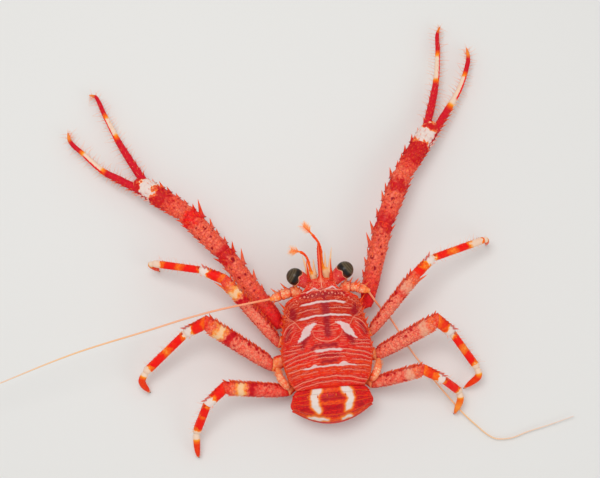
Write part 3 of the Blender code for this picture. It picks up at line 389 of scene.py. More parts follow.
def limbShell(form, segment, step=0.17, around=44, scales=None, spots=(), neck=True, rim=True, seed=1,
              lumps=0.0,
              stripes=()):
    count = max(int(segment.length / step), 10)
    place = np.linspace(0.0, 1.0, count)[:, None]
    angle = fullTurn(around)[None, :]
    points, normal = segment.surface(place, angle)
    fade = eased(0.0, 0.04, place) * eased(0.0, 0.04, 1 - place)
    edge, dark, plain = (np.zeros((count, around)) for _ in range(3))
    if scales:
        lift, edge = scaleField(segment, place, angle, scales, seed)
        points = points + normal * (lift * fade)[..., None]
        edge = edge * fade
    if lumps:
        swell = ripple(points, segment.widths.max() * 1.1, seed) * lumps
        points = points + normal * (swell * fade)[..., None]
    half = segment.widths.mean() / 2
    uneven = ripple(points, 0.9, seed + 1) * 0.08
    for where, degrees, radius in spots:
        off = turnedFrom(angle, math.radians(degrees))
        distance = np.hypot((place - where) * segment.length, off * half) + uneven
        dark = np.maximum(dark, 1 - eased(radius * 0.65, radius * 1.2, distance))
    for first, last, degrees, wide in stripes:  # first and last place, angle and half-angle
        off = np.abs(turnedFrom(angle, math.radians(degrees))) + uneven * 1.5
        inside = 1 - eased(math.radians(wide) * 0.75, math.radians(wide), off)
        dark = np.maximum(dark, between(first, last, place, 0.02, 0.02) * inside)
    layers = {"rings": [points], "along": [np.broadcast_to(place, plain.shape)], "joint": [plain],
              "dark": [dark],
              "stria": [edge]}

    def extra(end, way, steps, value):  # rings past an end, as steps of shift and scale
        base, centre = points[end], segment.centres[end]
        made = np.array([centre + (base - centre) * scale + way * shift for shift, scale in steps])
        shape = made.shape[:2]
        grown = {"rings": made, "along": np.full(shape, value), "joint": np.ones(shape)}
        for key, rows in layers.items():
            rows.insert(len(rows) if end else 0, grown.get(key, np.zeros(shape)))

    joint = layers["joint"]
    if neck:  # a rounded neck that reaches back into the part before
        extra(0, segment.faces[0], ((-0.75, 0.28), (-0.62, 0.52), (-0.38, 0.70), (-0.12, 0.80),
                                    (-0.02, 0.90)), 0.0)
        joint[0][-2:] = [[0.5], [0.15]]
    else:
        extra(0, -segment.ways[0], ((-0.02, 0.5), (0.0, 0.9)), 0.0)
        joint[0][:] = 0
    if rim:  # a lip, then a hollow for the next part's neck
        extra(-1, segment.faces[-1], ((0.05, 0.965), (0.03, 0.90), (-0.10, 0.84), (-0.30, 0.80),
                                      (-0.42, 0.5)), 1.0)
        joint[-1][:2] = [[0.0], [0.3]]
    elif rim is not None:  # a rounded end, where None leaves it flat
        reach = segment.widths[-1] / 2
        extra(-1, segment.ways[-1], [(reach * math.sin(t), math.cos(t)) for t in (0.35, 0.7, 1.05, 1.35)],
              1.0)
        joint[-1][:] = 0
    made = {key: np.concatenate(rows) for key, rows in layers.items()}
    form.tube(made.pop("rings"), **made)


spineSink = 0.45


def spineOn(form, segment, place, degrees, length, radius, lean, bend=0.0, facets=9, dark=0.0):
    angle, tilt = math.radians(degrees), math.radians(lean)
    point, _ = segment.surface(place, angle)
    way, outer, top = segment.axes(place)
    out = unit(outer * math.cos(angle) + top * math.sin(angle))
    grow = out * math.cos(tilt) + way * math.sin(tilt)
    sink = min(spineSink, 0.3 * float(segment.read(segment.heights, np.asarray(place, float))))
    form.spine(point - grow * sink, point + grow * length, radius, facets, bend, along=place, dark=dark)


def spineRow(form, segment, row, radius, lean, rng, bend=0.06, dark=0.0):
    first, last, count, degrees, startLength, endLength = row
    for k in range(count):
        share = k / max(count - 1, 1)
        length = (startLength + (endLength - startLength) * share) * rng.uniform(0.82, 1.15)
        place = first + (last - first) * share + rng.uniform(-0.012, 0.012)
        thick = radius * (0.75 + 0.35 * length)
        spineOn(form, segment, min(place, 0.99), degrees + rng.uniform(-6, 6), length, thick, lean, bend,
                dark=dark)


def hairsOn(form, segment, places, degrees, length, width, lean, strip, seed, spread=12.0):
    # strip is this part's (start, width) across the piece's unwrap
    rng = np.random.default_rng(seed)
    places = np.asarray(places, float)
    angles = np.radians(np.broadcast_to(degrees, places.shape) + rng.normal(0, spread, places.shape))
    points, normal = segment.surface(places, angles)
    way, _, _ = segment.axes(places)
    tilt = np.radians(lean + rng.normal(0, 9, places.shape))[:, None]
    grow = normal * np.cos(tilt) + way * np.sin(tilt)
    uv = np.stack([strip[0] + strip[1] * (angles / turnOnce % 1.0), np.clip(places, 0, 1) * 0.99], axis=-1)
    form.hairs(points - grow * 0.06, grow, length, width, uv, seed=seed)


def scaleHairs(form, segment, scales, length, width, lean, strip, seed, keep=0.6):
    found = [spot for spot in scaleSpots(segment, scales, seed) if spot[0] > 0.03]
    rng = np.random.default_rng(seed + 9)
    chosen = [spot for spot in found if rng.random() < keep]
    for shift in (-0.2, 0.2):
        places = np.array([spot[0] for spot in chosen])
        turns = np.array([math.degrees(spot[1]) for spot in chosen]) + shift * 360 / scales["columns"]
        hairsOn(form, segment, places, turns, length, width, lean, strip, seed + int(shift * 10), 3.0)


# Materials

lightGain, sheen = 0.95, 0.016   # how much the lights lift a colour, and what the gloss adds to it


def ink(red, green, blue):  # a colour as seen in the light, 0 to 255, as a base colour
    seen = np.array([red, green, blue]) / 255
    linear = np.where(seen <= 0.04045, seen / 12.92, ((seen + 0.055) / 1.055) ** 2.4)
    return (*[max(float(value) - sheen, 0.002) / lightGain for value in linear], 1.0)


class Graph:  # short ways to add and join shader nodes
    def __init__(self, tree):
        self.tree = tree

    def node(self, kind, values=None, **settings):
        made = self.tree.nodes.new("ShaderNode" + kind)
        for key, value in settings.items():
            setattr(made, key, value)
        for key, value in (values or {}).items():
            self.feed(made.inputs[key], value)
        return made

    def feed(self, socket, value):
        if isinstance(value, bpy.types.NodeSocket):
            self.tree.links.new(value, socket)
        else:
            socket.default_value = value

    def maths(self, operation, a, b=0.0, clamp=False):
        return self.node("Math", {0: a, 1: b}, operation=operation, use_clamp=clamp).outputs[0]

    def times(self, a, b, clamp=False):
        return self.maths("MULTIPLY", a, b, clamp)

    def blend(self, share, a, b):
        return self.node("Mix", {0: share, 6: a, 7: b}, data_type="RGBA").outputs[2]

    def range(self, value, low, high, to=(0.0, 1.0)):
        values = {"Value": value, "From Min": low, "From Max": high, "To Min": to[0], "To Max": to[1]}
        return self.node("MapRange", values, clamp=True).outputs["Result"]

    def mask(self, name):
        return self.node("Attribute", attribute_name=name).outputs["Fac"]

    def places(self):
        return self.node("TexCoord").outputs["Object"]

    def noise(self, where, scale, detail, roughness=0.5):
        values = {"Vector": where, "Scale": scale, "Detail": detail, "Roughness": roughness}
        return self.node("TexNoise", values).outputs["Fac"]

    def cells(self, where, scale, randomness, **settings):
        values = {"Vector": where, "Scale": scale, "Randomness": randomness}
        return self.node("TexVoronoi", values, **settings).outputs

    def effect(self, kind, where, **values):
        return self.node("Group", {"Vector": where, **values}, node_tree=effects[kind]).outputs[0]

    def ramp(self, share, stops):
        ramp = self.node("ValToRGB", {"Fac": share})
        elements = ramp.color_ramp.elements
        while len(elements) < len(stops):
            elements.new(0.5)
        for element, (place, colour) in zip(elements, stops):
            element.position = place
            element.color = colour
        return ramp.outputs["Color"]


def newGroup(name, output, **inputs):  # an effect's group: its places and values in, one mask or height out
    tree = bpy.data.node_groups.new(name, "ShaderNodeTree")
    tree.interface.new_socket("Vector", in_out="INPUT", socket_type="NodeSocketVector")
    for label, value in inputs.items():
        tree.interface.new_socket(label, in_out="INPUT", socket_type="NodeSocketFloat").default_value = value
    tree.interface.new_socket(output, in_out="OUTPUT", socket_type="NodeSocketFloat")
    given = tree.nodes.new("NodeGroupInput").outputs
    return Graph(tree), given, given["Vector"], tree.nodes.new("NodeGroupOutput").inputs[output]


def speckleGroup():  # round dots of varied size, scattered over a surface
    g, given, where, out = newGroup("speckle", "Mask", Scale=1200.0, Size=0.3, Amount=0.5)
    cells = g.cells(where, given["Scale"], 0.9)
    parts = g.node("SeparateColor", {"Color": cells["Color"]}).outputs
    size = g.times(given["Size"], g.range(parts["Green"], 0.0, 1.0, (0.5, 1.0)))
    inside = g.range(g.maths("DIVIDE", cells["Distance"], size), 1.15, 0.75)
    g.feed(out, g.times(inside, g.maths("LESS_THAN", parts["Red"], given["Amount"])))
    return g.tree


def mottleGroup():  # cloudy variation at two sizes
    g, given, where, out = newGroup("mottle", "Mask", Scale=400.0, Contrast=2.0)
    broad = g.noise(where, given["Scale"], 2.0)
    finer = g.noise(where, g.times(given["Scale"], 4.2), 3.0, 0.6)
    mixed = g.maths("ADD", g.times(broad, 0.55), g.times(finer, 0.45))
    g.feed(out, g.maths("ADD", g.times(g.maths("SUBTRACT", mixed, 0.5), given["Contrast"]), 0.5, clamp=True))
    return g.tree


def grainGroup():  # the fine pits and granules of a shell, as a height
    g, given, where, out = newGroup("shell grain", "Height", Scale=5200.0)
    pits = g.range(g.cells(where, given["Scale"], 1.0)["Distance"], 0.0, 0.7)
    rough = g.noise(where, g.times(given["Scale"], 0.45), 4.0, 0.55)
    g.feed(out, g.maths("ADD", g.times(pits, 0.4), g.times(rough, 0.8)))
    return g.tree


def netGroup():  # an uneven network of fine lines
    g, given, where, out = newGroup("net", "Mask", Scale=1200.0, Size=0.2, Amount=0.5)
    wander = g.noise(where, g.times(given["Scale"], 0.5), 3.0, 0.6)
    edge = g.cells(where, given["Scale"], 1.0, feature="DISTANCE_TO_EDGE")["Distance"]
    width = g.times(given["Size"], g.range(wander, 0.3, 0.65, (0.1, 1.7)))
    lines = g.maths("SUBTRACT", 1.0, g.maths("DIVIDE", edge, width), clamp=True)
    g.feed(out, g.times(g.range(lines, 0.0, 0.6), given["Amount"]))
    return g.tree


effects = {"speckle": speckleGroup(), "mottle": mottleGroup(), "grain": grainGroup(), "net": netGroup()}


def newMaterial(name, plainValues):  # a material, its graph and its shader's sockets, with the plain ones set
    material = bpy.data.materials.new(name)
    material.use_nodes = True
    sockets = material.node_tree.nodes["Principled BSDF"].inputs
    for socket, value in plainValues.items():
        sockets[socket].default_value = value
    return material, Graph(material.node_tree), sockets


inks = {
    "crimson": ink(194, 20, 44), "red": ink(230, 30, 44), "scarlet": ink(245, 36, 36),
    "wine": ink(136, 14, 40),
    "vermilion": ink(244, 60, 34), "salmon": ink(246, 110, 84), "coral": ink(248, 132, 102),
    "blush": ink(238, 78, 62), "orange": ink(253, 106, 26), "amber": ink(254, 156, 66),
    "apricot": ink(252, 142, 92), "peach": ink(238, 176, 144), "cream": ink(238, 212, 188),
    "milk": ink(232, 220, 211), "haze": ink(228, 204, 200), "stria": ink(240, 158, 132),
    "rose": ink(212, 26, 54),
    "garnet": ink(158, 12, 46), "flame": ink(255, 170, 52), "rust": ink(184, 46, 34),
    "straw": ink(245, 204, 156),
    "brown": ink(120, 66, 34)}
paleInks = ("cream", "milk", "straw")


# What every shell finish starts from: the ramp of inks along a piece, how jagged its bands are, then inks
# with amount and scale (and size), the inks that the masks paint, and the surface
plainFinish = {
    "ramp": ((0.0, "red"), (1.0, "red")), "jag": 0.0, "jagScale": 900.0, "stretch": (1.0, 1.0, 1.0),
    # the flecks are the granules' own pale tips together with painted glints on the granules, as ink, amount,
    # scale and size
    "flecks": ("amber", 0.35, 1700.0, 0.26), "glow": 0.15, "mottle": ("crimson", 0.25, 420.0),
    "light": ("salmon", 0.25, 900.0), "dots": ("wine", 0.0, 1100.0, 0.30),
    "net": ("crimson", 0.0, 1200.0, 0.2),
    "striaInk": "orange", "striaShare": 0.5, "paleInk": "milk", "darkInk": "wine", "tipInk": "amber",
    "tipShare": 0.75, "jointInk": "amber", "roughness": 0.40, "coat": 0.04, "grain": 0.08,
    "grainScale": 5200.0,
    "translucence": 0.04}


def shellMaterial(name, **changes):
    look = {**plainFinish, **changes}
    material, g, sockets = newMaterial(name, {
        "Coat Weight": look["coat"], "Coat Roughness": 0.12, "Specular IOR Level": 0.12,
        "Subsurface Weight": look["translucence"], "Subsurface Radius": (1.0, 0.35, 0.2),
        "Subsurface Scale": 0.8 * mm})
    where = g.places()
    if look["stretch"] != plainFinish["stretch"]:
        where = g.node("Mapping", {"Vector": where, "Scale": look["stretch"]}).outputs["Vector"]
    along = g.mask("along")
    if look["jag"]:
        wave = g.maths("SUBTRACT", g.noise(where, look["jagScale"], 3.0), 0.5)
        along = g.maths("ADD", along, g.times(wave, look["jag"]))
    colour = g.ramp(along, [(place, inks[key]) for place, key in look["ramp"]])
    green = g.node("SeparateColor", {"Color": colour}).outputs["Green"]  # high where a band is white
    whiteness = g.range(green, 0.25, 0.55, (1.0, 0.12))
    openness = g.times(whiteness, g.range(green, 0.01, 0.09, (look["glow"], 1.0)))
    for key, contrast, limit in (("mottle", 3.0, whiteness), ("light", 4.0, openness)):
        tint, amount, scale = look[key]
        share = g.times(g.effect("mottle", where, Scale=scale, Contrast=contrast), amount)
        colour = g.blend(g.times(share, limit), colour, inks[tint])
    # pale flecks: partly the granules' own pale tips, partly painted glints
    marks = (("net", "net", whiteness), ("flecks", "speckle", openness), ("dots", "speckle", whiteness))
    for key, kind, limit in marks:
        tint, amount, scale, size = look[key]
        if amount:
            spots = g.times(g.effect(kind, where, Scale=scale, Size=size, Amount=amount), 0.7)
            colour = g.blend(g.times(spots, limit), colour, inks[tint])
    edges = g.times(g.mask("stria"), look["striaShare"], clamp=True)
    tips = g.times(g.range(g.mask("tip"), 0.15, 0.95), look["tipShare"])
    for share, key in ((g.times(edges, whiteness), "striaInk"), (g.mask("dark"), "darkInk"),
                       (g.mask("pale"), "paleInk"), (tips, "tipInk"), (g.mask("joint"), "jointInk")):
        colour = g.blend(share, colour, inks[look[key]])
    g.feed(sockets["Base Color"], colour)
    uneven = g.effect("mottle", where, Scale=1500.0, Contrast=2.0)
    g.feed(sockets["Roughness"], g.range(uneven, 0.0, 1.0,
                                         (look["roughness"] - 0.08, look["roughness"] + 0.1)))
    height = g.effect("grain", where, Scale=look["grainScale"])
    bump = g.node("Bump", {"Height": height, "Strength": 0.5, "Distance": look["grain"] * mm})
    g.feed(sockets["Normal"], bump.outputs["Normal"])
    return material


def glowingHairMaterial(name, root, tip, roughness=0.5):
    # the hairs give off a faint light in their own colour, a painted glow that lifts the shade the thin hairs
    # cast on one another
    material, g, sockets = newMaterial(name, {"Emission Strength": 0.25, "Roughness": roughness,
                                              "Subsurface Weight": 0.2, "Subsurface Scale": 0.2 * mm})
    varied = g.effect("mottle", g.places(), Scale=700.0, Contrast=2.0)
    colour = g.blend(g.times(varied, 0.35), g.blend(g.mask("tip"), root, tip), root)
    g.feed(sockets["Base Color"], colour)
    g.feed(sockets["Emission Color"], colour)
    return material


hairLooks = {
    "gold": glowingHairMaterial("hair gold", ink(232, 120, 72), ink(222, 172, 128)),
    "pale": glowingHairMaterial("hair pale", ink(240, 176, 150), ink(244, 226, 214), 0.35),
    "orange": glowingHairMaterial("hair orange", ink(246, 150, 84), ink(248, 190, 130))}
print("materials and effects ready")


# Carapace

shellPlan = {
    "rear": -11.2, "edgeHeight": 10.0, "floor": 7.9, "margin": 12.9, "lobeReach": 2.5, "lobeHalf": 3.6,
    "shoulderDrop": 3.0, "bow": 0.8, "markMiddle": 0.3, "rows": 320, "columns": 250, "rearRim": 0.28,
    "undercut": 14.1,
    "halfWidths": ((-11.2, 8.5), (-9.3, 9.5), (-7.0, 10.3), (-1.8, 11.2), (1.5, 10.8), (4.5, 10.35),
                   (7.2, 9.85),
                   (14.5, 8.9)),
    "crest": ((-11.2, 12.3), (-6.0, 13.7), (0.0, 14.1), (7.0, 13.8), (14.0, 12.7)),
    "wall": ((0.06, 9.85), (0.13, 9.55), (0.17, 9.2), (0.12, 8.8), (-0.08, 8.45), (-0.4, 8.12), (-0.7, 7.93),
             (-1.1, 7.9))}

# Ridges across the shell: y on the midline, fall towards the sides at 10 mm out, first and last x, height and
# pale share
ridges = (
    (12.35, 0.9, -5.6, 5.6, 0.16, 0.9), (9.45, 1.9, -6.0, 5.9, 0.26, 1.0),
    (7.75, 1.3, -6.6, -0.9, 0.20, 0.7), (7.75, 0.9, 1.0, 7.4, 0.20, 0.7),
    (6.05, 1.5, -7.2, 7.2, 0.27, 1.0), (4.7, 1.0, -4.6, -1.6, 0.12, 0.4),
    (4.9, 1.0, 2.2, 5.6, 0.12, 0.4),
    (-0.65, 0.2, -8.9, -5.4, 0.14, 0.6), (-1.6, 0.3, -10.2, -5.2, 0.16, 0.7),
    (-2.3, 0.4, -11.0, -7.0, 0.15, 0.7), (-0.5, 0.3, 6.2, 10.6, 0.14, 0.6),
    (-1.3, 0.3, 5.6, 10.9, 0.16, 0.7), (-2.1, 0.4, 6.8, 11.1, 0.15, 0.7),
    (-2.45, 1.6, -11.2, 11.2, 0.27, 0.9), (-3.45, 1.6, -10.9, 10.9, 0.22, 0.75),
    (-4.35, 1.2, -3.6, 4.4, 0.15, 0.7), (-4.9, 1.0, -10.6, -5.0, 0.16, 0.6),
    (-4.9, 1.0, 5.6, 10.6, 0.16, 0.6), (-6.3, 0.8, -10.3, 10.3, 0.28, 1.0),
    (-7.5, 0.9, -9.6, -2.5, 0.12, 0.4), (-7.5, 0.9, 3.0, 9.6, 0.12, 0.4),
    (-8.9, 1.9, -9.6, 9.6, 0.24, 0.95), (-10.05, 1.7, -8.6, 8.8, 0.20, 0.7))
# The parts of those ridges that show white: y, first and last x, width
whiteRuns = ((9.45, -5.6, 5.9, 0.40), (6.05, -6.4, 6.8, 0.36), (-2.5, -3.4, 3.9, 0.50),
             (-6.3, -6.5, 7.0, 0.30))
# Fine raised lines: (x, y) along each, and how pale; the first set is mirrored for the left side
shoulderLines = (
    (((9.7, 7.8), (8.6, 6.2), (7.3, 5.0), (6.3, 3.6), (5.8, 3.0)), 0.75),
    (((10.4, 6.6), (9.3, 6.1), (8.1, 5.4)), 0.6),
    (((7.3, 5.0), (8.5, 4.45), (9.5, 3.6), (10.3, 2.4)), 0.95), (((7.6, 4.0), (8.7, 3.0), (9.7, 1.6)), 0.8),
    (((8.0, 2.9), (8.9, 2.2), (9.8, 0.9)), 0.6), (((7.3, 2.6), (8.2, 1.6), (8.9, 0.3)), 0.4),
    (((8.4, 7.6), (9.0, 7.3), (9.6, 6.8)), 0.4), (((6.6, 9.6), (7.4, 9.2), (8.2, 8.6)), 0.45),
    (((6.2, 8.4), (7.0, 8.1), (7.7, 7.6)), 0.4), (((7.6, 9.9), (8.2, 9.5), (8.8, 8.9)), 0.4))
middleLines = (
    (((-2.1, 3.9), (-1.0, 3.62), (-0.15, 3.28)), 0.8), (((1.1, 3.33), (2.2, 3.67), (2.9, 3.78)), 0.8),
    (((-2.9, 2.4), (-1.8, 2.21), (-0.25, 2.14)), 0.75), (((1.0, 2.11), (2.2, 2.17), (3.3, 2.42)), 0.7),
    (((-2.35, 0.41), (-1.35, -0.12), (0.0, -0.43), (1.4, -0.39), (2.5, 0.03), (3.1, 0.5)), 1.1),
    (((-3.3, 2.9), (-3.1, 1.8), (-2.8, 0.9), (-2.35, 0.3)), 0.5),
    (((4.1, 2.0), (3.85, 1.1), (3.2, 0.3)), 0.5),
    (((-1.6, 1.3), (-0.6, 1.15), (0.0, 1.2)), 0.4), (((0.9, 1.2), (1.7, 1.2), (2.4, 1.4)), 0.4),
    (((-1.1, 12.5), (0.2, 12.8), (1.3, 12.5)), 0.7), (((0.17, 13.0), (0.17, 14.2), (0.16, 15.2)), 1.2))
frontMarks = (((-3.6, 11.9, 0.2), (-2.6, 12.5, 0.36), (-1.8, 12.93, 0.38), (-1.0, 12.5, 0.25)),
              ((1.2, 12.5, 0.25), (2.2, 12.8, 0.38), (2.8, 13.03, 0.38), (3.8, 12.2, 0.2)),
              ((-4.4, -6.5, 0.3), (-3.4, -6.2, 0.8), (-2.6, -6.4, 0.2)),
              ((2.6, -6.3, 0.4), (3.7, -6.0, 0.9), (4.8, -6.3, 0.3)))
# Grooves pressed into the shell, right side: (x, y) along each, and width
grooves = (((0.3, 4.3), (2.6, 4.7), (5.0, 4.8), (7.3, 5.1), (9.0, 5.9), (10.4, 6.9)),
           ((7.2, 5.0), (7.1, 3.4), (8.0, 1.6), (10.8, -0.2)),
           ((2.4, 3.0), (3.6, 1.2), (3.2, -0.8), (2.0, -1.8)))
whitePatch = ((2.4, 4.15, 0.3), (3.6, 3.65, 1.0), (4.45, 3.0, 1.65), (5.05, 2.2, 1.85), (5.7, 1.4, 1.5),
              (6.3, 0.8, 0.9), (7.3, -0.2, 0.1))
darkSpots = (((0.7, 11.4, 0.9), (0.6, 10.4, 1.0)), ((0.6, 9.0, 1.9), (0.6, 6.6, 1.9)),
             ((0.6, 5.5, 1.7), (0.5, 3.4, 1.5), (0.5, 1.4, 1.7)), ((-7.6, 7.9, 1.5), (-7.5, 6.6, 2.0)),
             ((7.9, 7.7, 1.5), (7.7, 6.5, 2.0)), ((-4.4, 1.6, 1.3), (-5.6, -0.2, 1.5), (-5.9, -1.4, 1.0)),
             ((4.9, 1.5, 1.3), (6.1, -0.2, 1.5), (6.4, -1.4, 1.0)), ((-1.6, -1.4, 1.0), (2.3, -1.4, 1.0)),
             ((-3.6, -1.9, 0.8), (-2.4, -1.2, 0.8)), ((-2.0, -3.9, 0.7), (2.4, -3.9, 0.7)),
             ((-1.3, -5.3, 0.9), (1.9, -5.3, 0.9)), ((-8.6, 3.3, 1.0), (-9.6, 1.2, 1.0)),
             ((8.8, 3.3, 1.0), (9.8, 1.2, 1.0)), ((-4.8, 11.2, 1.1), (5.2, 11.2, 1.1)))


def shellHalfWidth(y):
    return smoothBetween(shellPlan["halfWidths"], y)


# a place on the shell's back from its line across and its share of the half-width
def shellPoint(yMiddle, share):
    lip = shellPlan["margin"] + shellPlan["lobeReach"]
    frontEase = np.clip((yMiddle - 9.4) / 3.2, 0, 1)
    rearEase = np.clip((yMiddle - shellPlan["rear"]) / 2.4, 0, 1)
    x = shellHalfWidth(yMiddle) * share
    y = yMiddle - shellPlan["bow"] * (1 - frontEase) * rearEase * share ** 2
    edge = (shellPlan["margin"] + shellPlan["lobeReach"] / (1 + (np.abs(x) / shellPlan["lobeHalf"]) ** 9)
            - shellPlan["shoulderDrop"] * (np.abs(x) / 9.6) ** 2.2)
    y = y + (edge - lip) * np.clip((yMiddle - 9.4) / (lip - 9.4), 0, 1)
    crest = smoothBetween(shellPlan["crest"], yMiddle)
    arch = np.clip(1 - np.abs(share) ** 2.4, 0, 1) ** 0.75
    z = shellPlan["edgeHeight"] + (crest - shellPlan["edgeHeight"]) * arch
    return np.stack(np.broadcast_arrays(x, y, z), axis=-1)


def ridgeLine(ridge, x):  # y of a ridge at x, with a little waver
    y, fall = ridge[0], ridge[1]
    off = np.asarray(x, float) - shellPlan["markMiddle"]
    return y - fall * (off / 10) ** 2 + 0.07 * np.sin(x * 1.6 + y * 5) + 0.025 * np.sin(x * 5.3 + y * 3)


def fineRows(x, y, first, last, seed):  # broken rows of small scales: how raised and pale each place is
    rng = np.random.default_rng(seed)
    across = np.linspace(-12, 12, 700)
    best = np.zeros(x.shape)
    row = first
    while row < last:
        row += rng.uniform(0.42, 0.62)
        strength, shift, at = np.zeros(700), np.zeros(700), -12.0
        while at < 12.0:
            length = rng.uniform(0.5, 2.2)
            strength += between(at, at + length, across, 0.0, 0.15) * rng.uniform(0.15, 0.75)
            shift += np.where((across >= at) & (across < at + length), rng.uniform(-0.12, 0.12), 0.0)
            at += length + rng.uniform(0.1, 0.8)
        line = row - 1.4 * ((x - shellPlan["markMiddle"]) / 10) ** 2 + np.interp(x, across, shift)
        best = np.maximum(best, np.interp(x, across, strength) * np.exp(-((y - line) / 0.085) ** 2))
    return best


def gridNormals(points):
    normal = np.cross(np.gradient(points, axis=1), np.gradient(points, axis=0))
    return unit(normal * np.sign(normal[..., 2:3] + 1e-9))


def carapace():
    plan = shellPlan
    lip = plan["margin"] + plan["lobeReach"]
    yMiddle = np.linspace(plan["rear"] - plan["rearRim"], lip, plan["rows"])[:, None]
    even = np.linspace(-1, 1, plan["columns"])
    share = (0.45 * even + 0.55 * np.sin(math.pi / 2 * even))[None, :]
    points = shellPoint(yMiddle, share)
    points[..., 2] -= 0.42 * eased(0.0, 0.55, -10.95 - yMiddle) ** 2
    normal = gridNormals(points)
    x, y = points[..., 0], points[..., 1]
    lift, stria, pale, front, hollow = (np.zeros(x.shape) for _ in range(5))
    for ridge in ridges:
        first, last, rise, paleShare = ridge[2:]
        off = y - ridgeLine(ridge, x)
        ends = between(first, last, x, 0.1, 0.7)
        bump = np.where(off < 0, np.exp(off / 0.32), 1 - eased(0.0, 0.15, off))
        lift = np.maximum(lift, rise * ends * bump)
        stria = np.maximum(stria, paleShare * ends * np.exp(-((off + 0.04) / 0.11) ** 2))
        # a band at the foot of each ridge's steep front, where the ridge's shade falls; it is painted darker
        # below as painted shade
        front = np.maximum(front, ends * np.exp(-((off - 0.27) / 0.13) ** 2))
    lines = [(np.array(path) * [side, 1], tone) for side in sides.values() for path, tone in shoulderLines]
    for path, tone in lines + list(middleLines):
        distance = lineDistance(x, y, path, 50)
        lift = np.maximum(lift, 0.15 * np.exp(-(distance / 0.22) ** 2))
        stria = np.maximum(stria, tone * np.exp(-(distance / 0.12) ** 2))
    rows = fineRows(x, y, plan["rear"], 14.6, 17) * (1 - np.clip(lift / 0.15, 0, 1))
    lift = np.maximum(lift, 0.06 * rows)
    stria = np.maximum(stria, 0.8 * rows)
    for y0, first, last, width in whiteRuns:
        centre = ridgeLine(next(r for r in ridges if abs(r[0] - y0) < 0.12), x)
        ends = between(first, last, x, 0.2, 0.9)
        waver = 0.88 + 0.12 * np.sin(x * 0.9 + y0) + 0.06 * np.sin(x * 4.1 + y0 * 2)
        ragged = width * waver * (0.4 + 0.6 * ends)
        pale = np.maximum(pale, ends * (1 - eased(0.45, 1.05, np.abs(y - centre + 0.05) / ragged)) * 0.95)
    pale = np.maximum(pale, 0.85 * painted(x, y, frontMarks, 0.1))
    wobbleX = x + 0.10 * np.sin(y * 3.1) + 0.07 * np.sin(y * 8.1 + x * 3)
    wobbleY = y + 0.10 * np.sin(x * 2.9) + 0.05 * np.sin(x * 9.7 + y * 4)
    middle = plan["markMiddle"]
    for side in sides.values():
        patch = [(middle + side * a, b, c) for a, b, c in whitePatch]
        pale = np.maximum(pale, 0.95 * painted(wobbleX, wobbleY, [patch], 0.16))
        pale *= 1 - 0.16 * np.exp(-np.hypot(x - middle - side * 4.9, (y - 2.5) * 0.8) ** 2)
        for groove in grooves:
            distance = lineDistance(x, y, [(side * a, b) for a, b in groove], 40)
            hollow = np.maximum(hollow, np.exp(-(distance / 0.55) ** 2))
    # dark holds painted shade along the ridges' fronts together with the shell's own dark spots
    dark = np.maximum(0.45 * front, 0.9 * painted(wobbleX, wobbleY, darkSpots, 0.5))
    fade = np.clip(1 - np.abs(share) ** 8, 0, 1)
    swell = ripple(points, 7.0, 5) * 0.05 + ripple(points, 1.6, 6) * 0.025
    points = points + normal * ((lift + swell - 0.28 * hollow) * fade)[..., None]
    points[..., 1] += 0.35 * lift * fade  # the ridges lean ahead over their steep fronts
    form = Form()
    rim = 0.4 * eased(0.955, 1.0, np.abs(share)) * eased(0.2, 0.5, np.abs(np.sin(y * 2.3)) + 0.2)
    addShellBody(form, points, {
        "along": np.broadcast_to((yMiddle - plan["rear"]) / (lip - plan["rear"]), x.shape), "pale": pale,
        "stria": stria, "dark": dark * (1 - 0.6 * np.clip(stria, 0, 1)), "joint": rim})
    shellSpines(form)
    look = shellMaterial(
        "carapace finish", jag=0.06, jagScale=300.0, stretch=(1.0, 2.6, 1.0), paleInk="haze",
        ramp=((0.0, "scarlet"), (0.08, "scarlet"), (0.13, "vermilion"), (0.21, "vermilion"),
              (0.25, "scarlet"),
              (0.45, "red"), (0.56, "red"), (0.66, "rust"), (0.86, "rust"), (0.90, "red"), (0.95, "scarlet"),
              (0.985, "vermilion"), (1.0, "orange")),
        mottle=("crimson", 0.7, 260.0), light=("orange", 0.6, 640.0), striaInk="stria", striaShare=0.95,
        darkInk="garnet", grain=0.12, roughness=0.36, coat=0.05, glow=0.5,
        flecks=("apricot", 0.5, 1500.0, 0.26),
        net=("crimson", 0.55, 1000.0, 0.15), tipInk="orange", tipShare=0.5, jointInk="orange")
    makePiece("carapace_shell", form, look, ["carapace"])
    shellHairs(points)


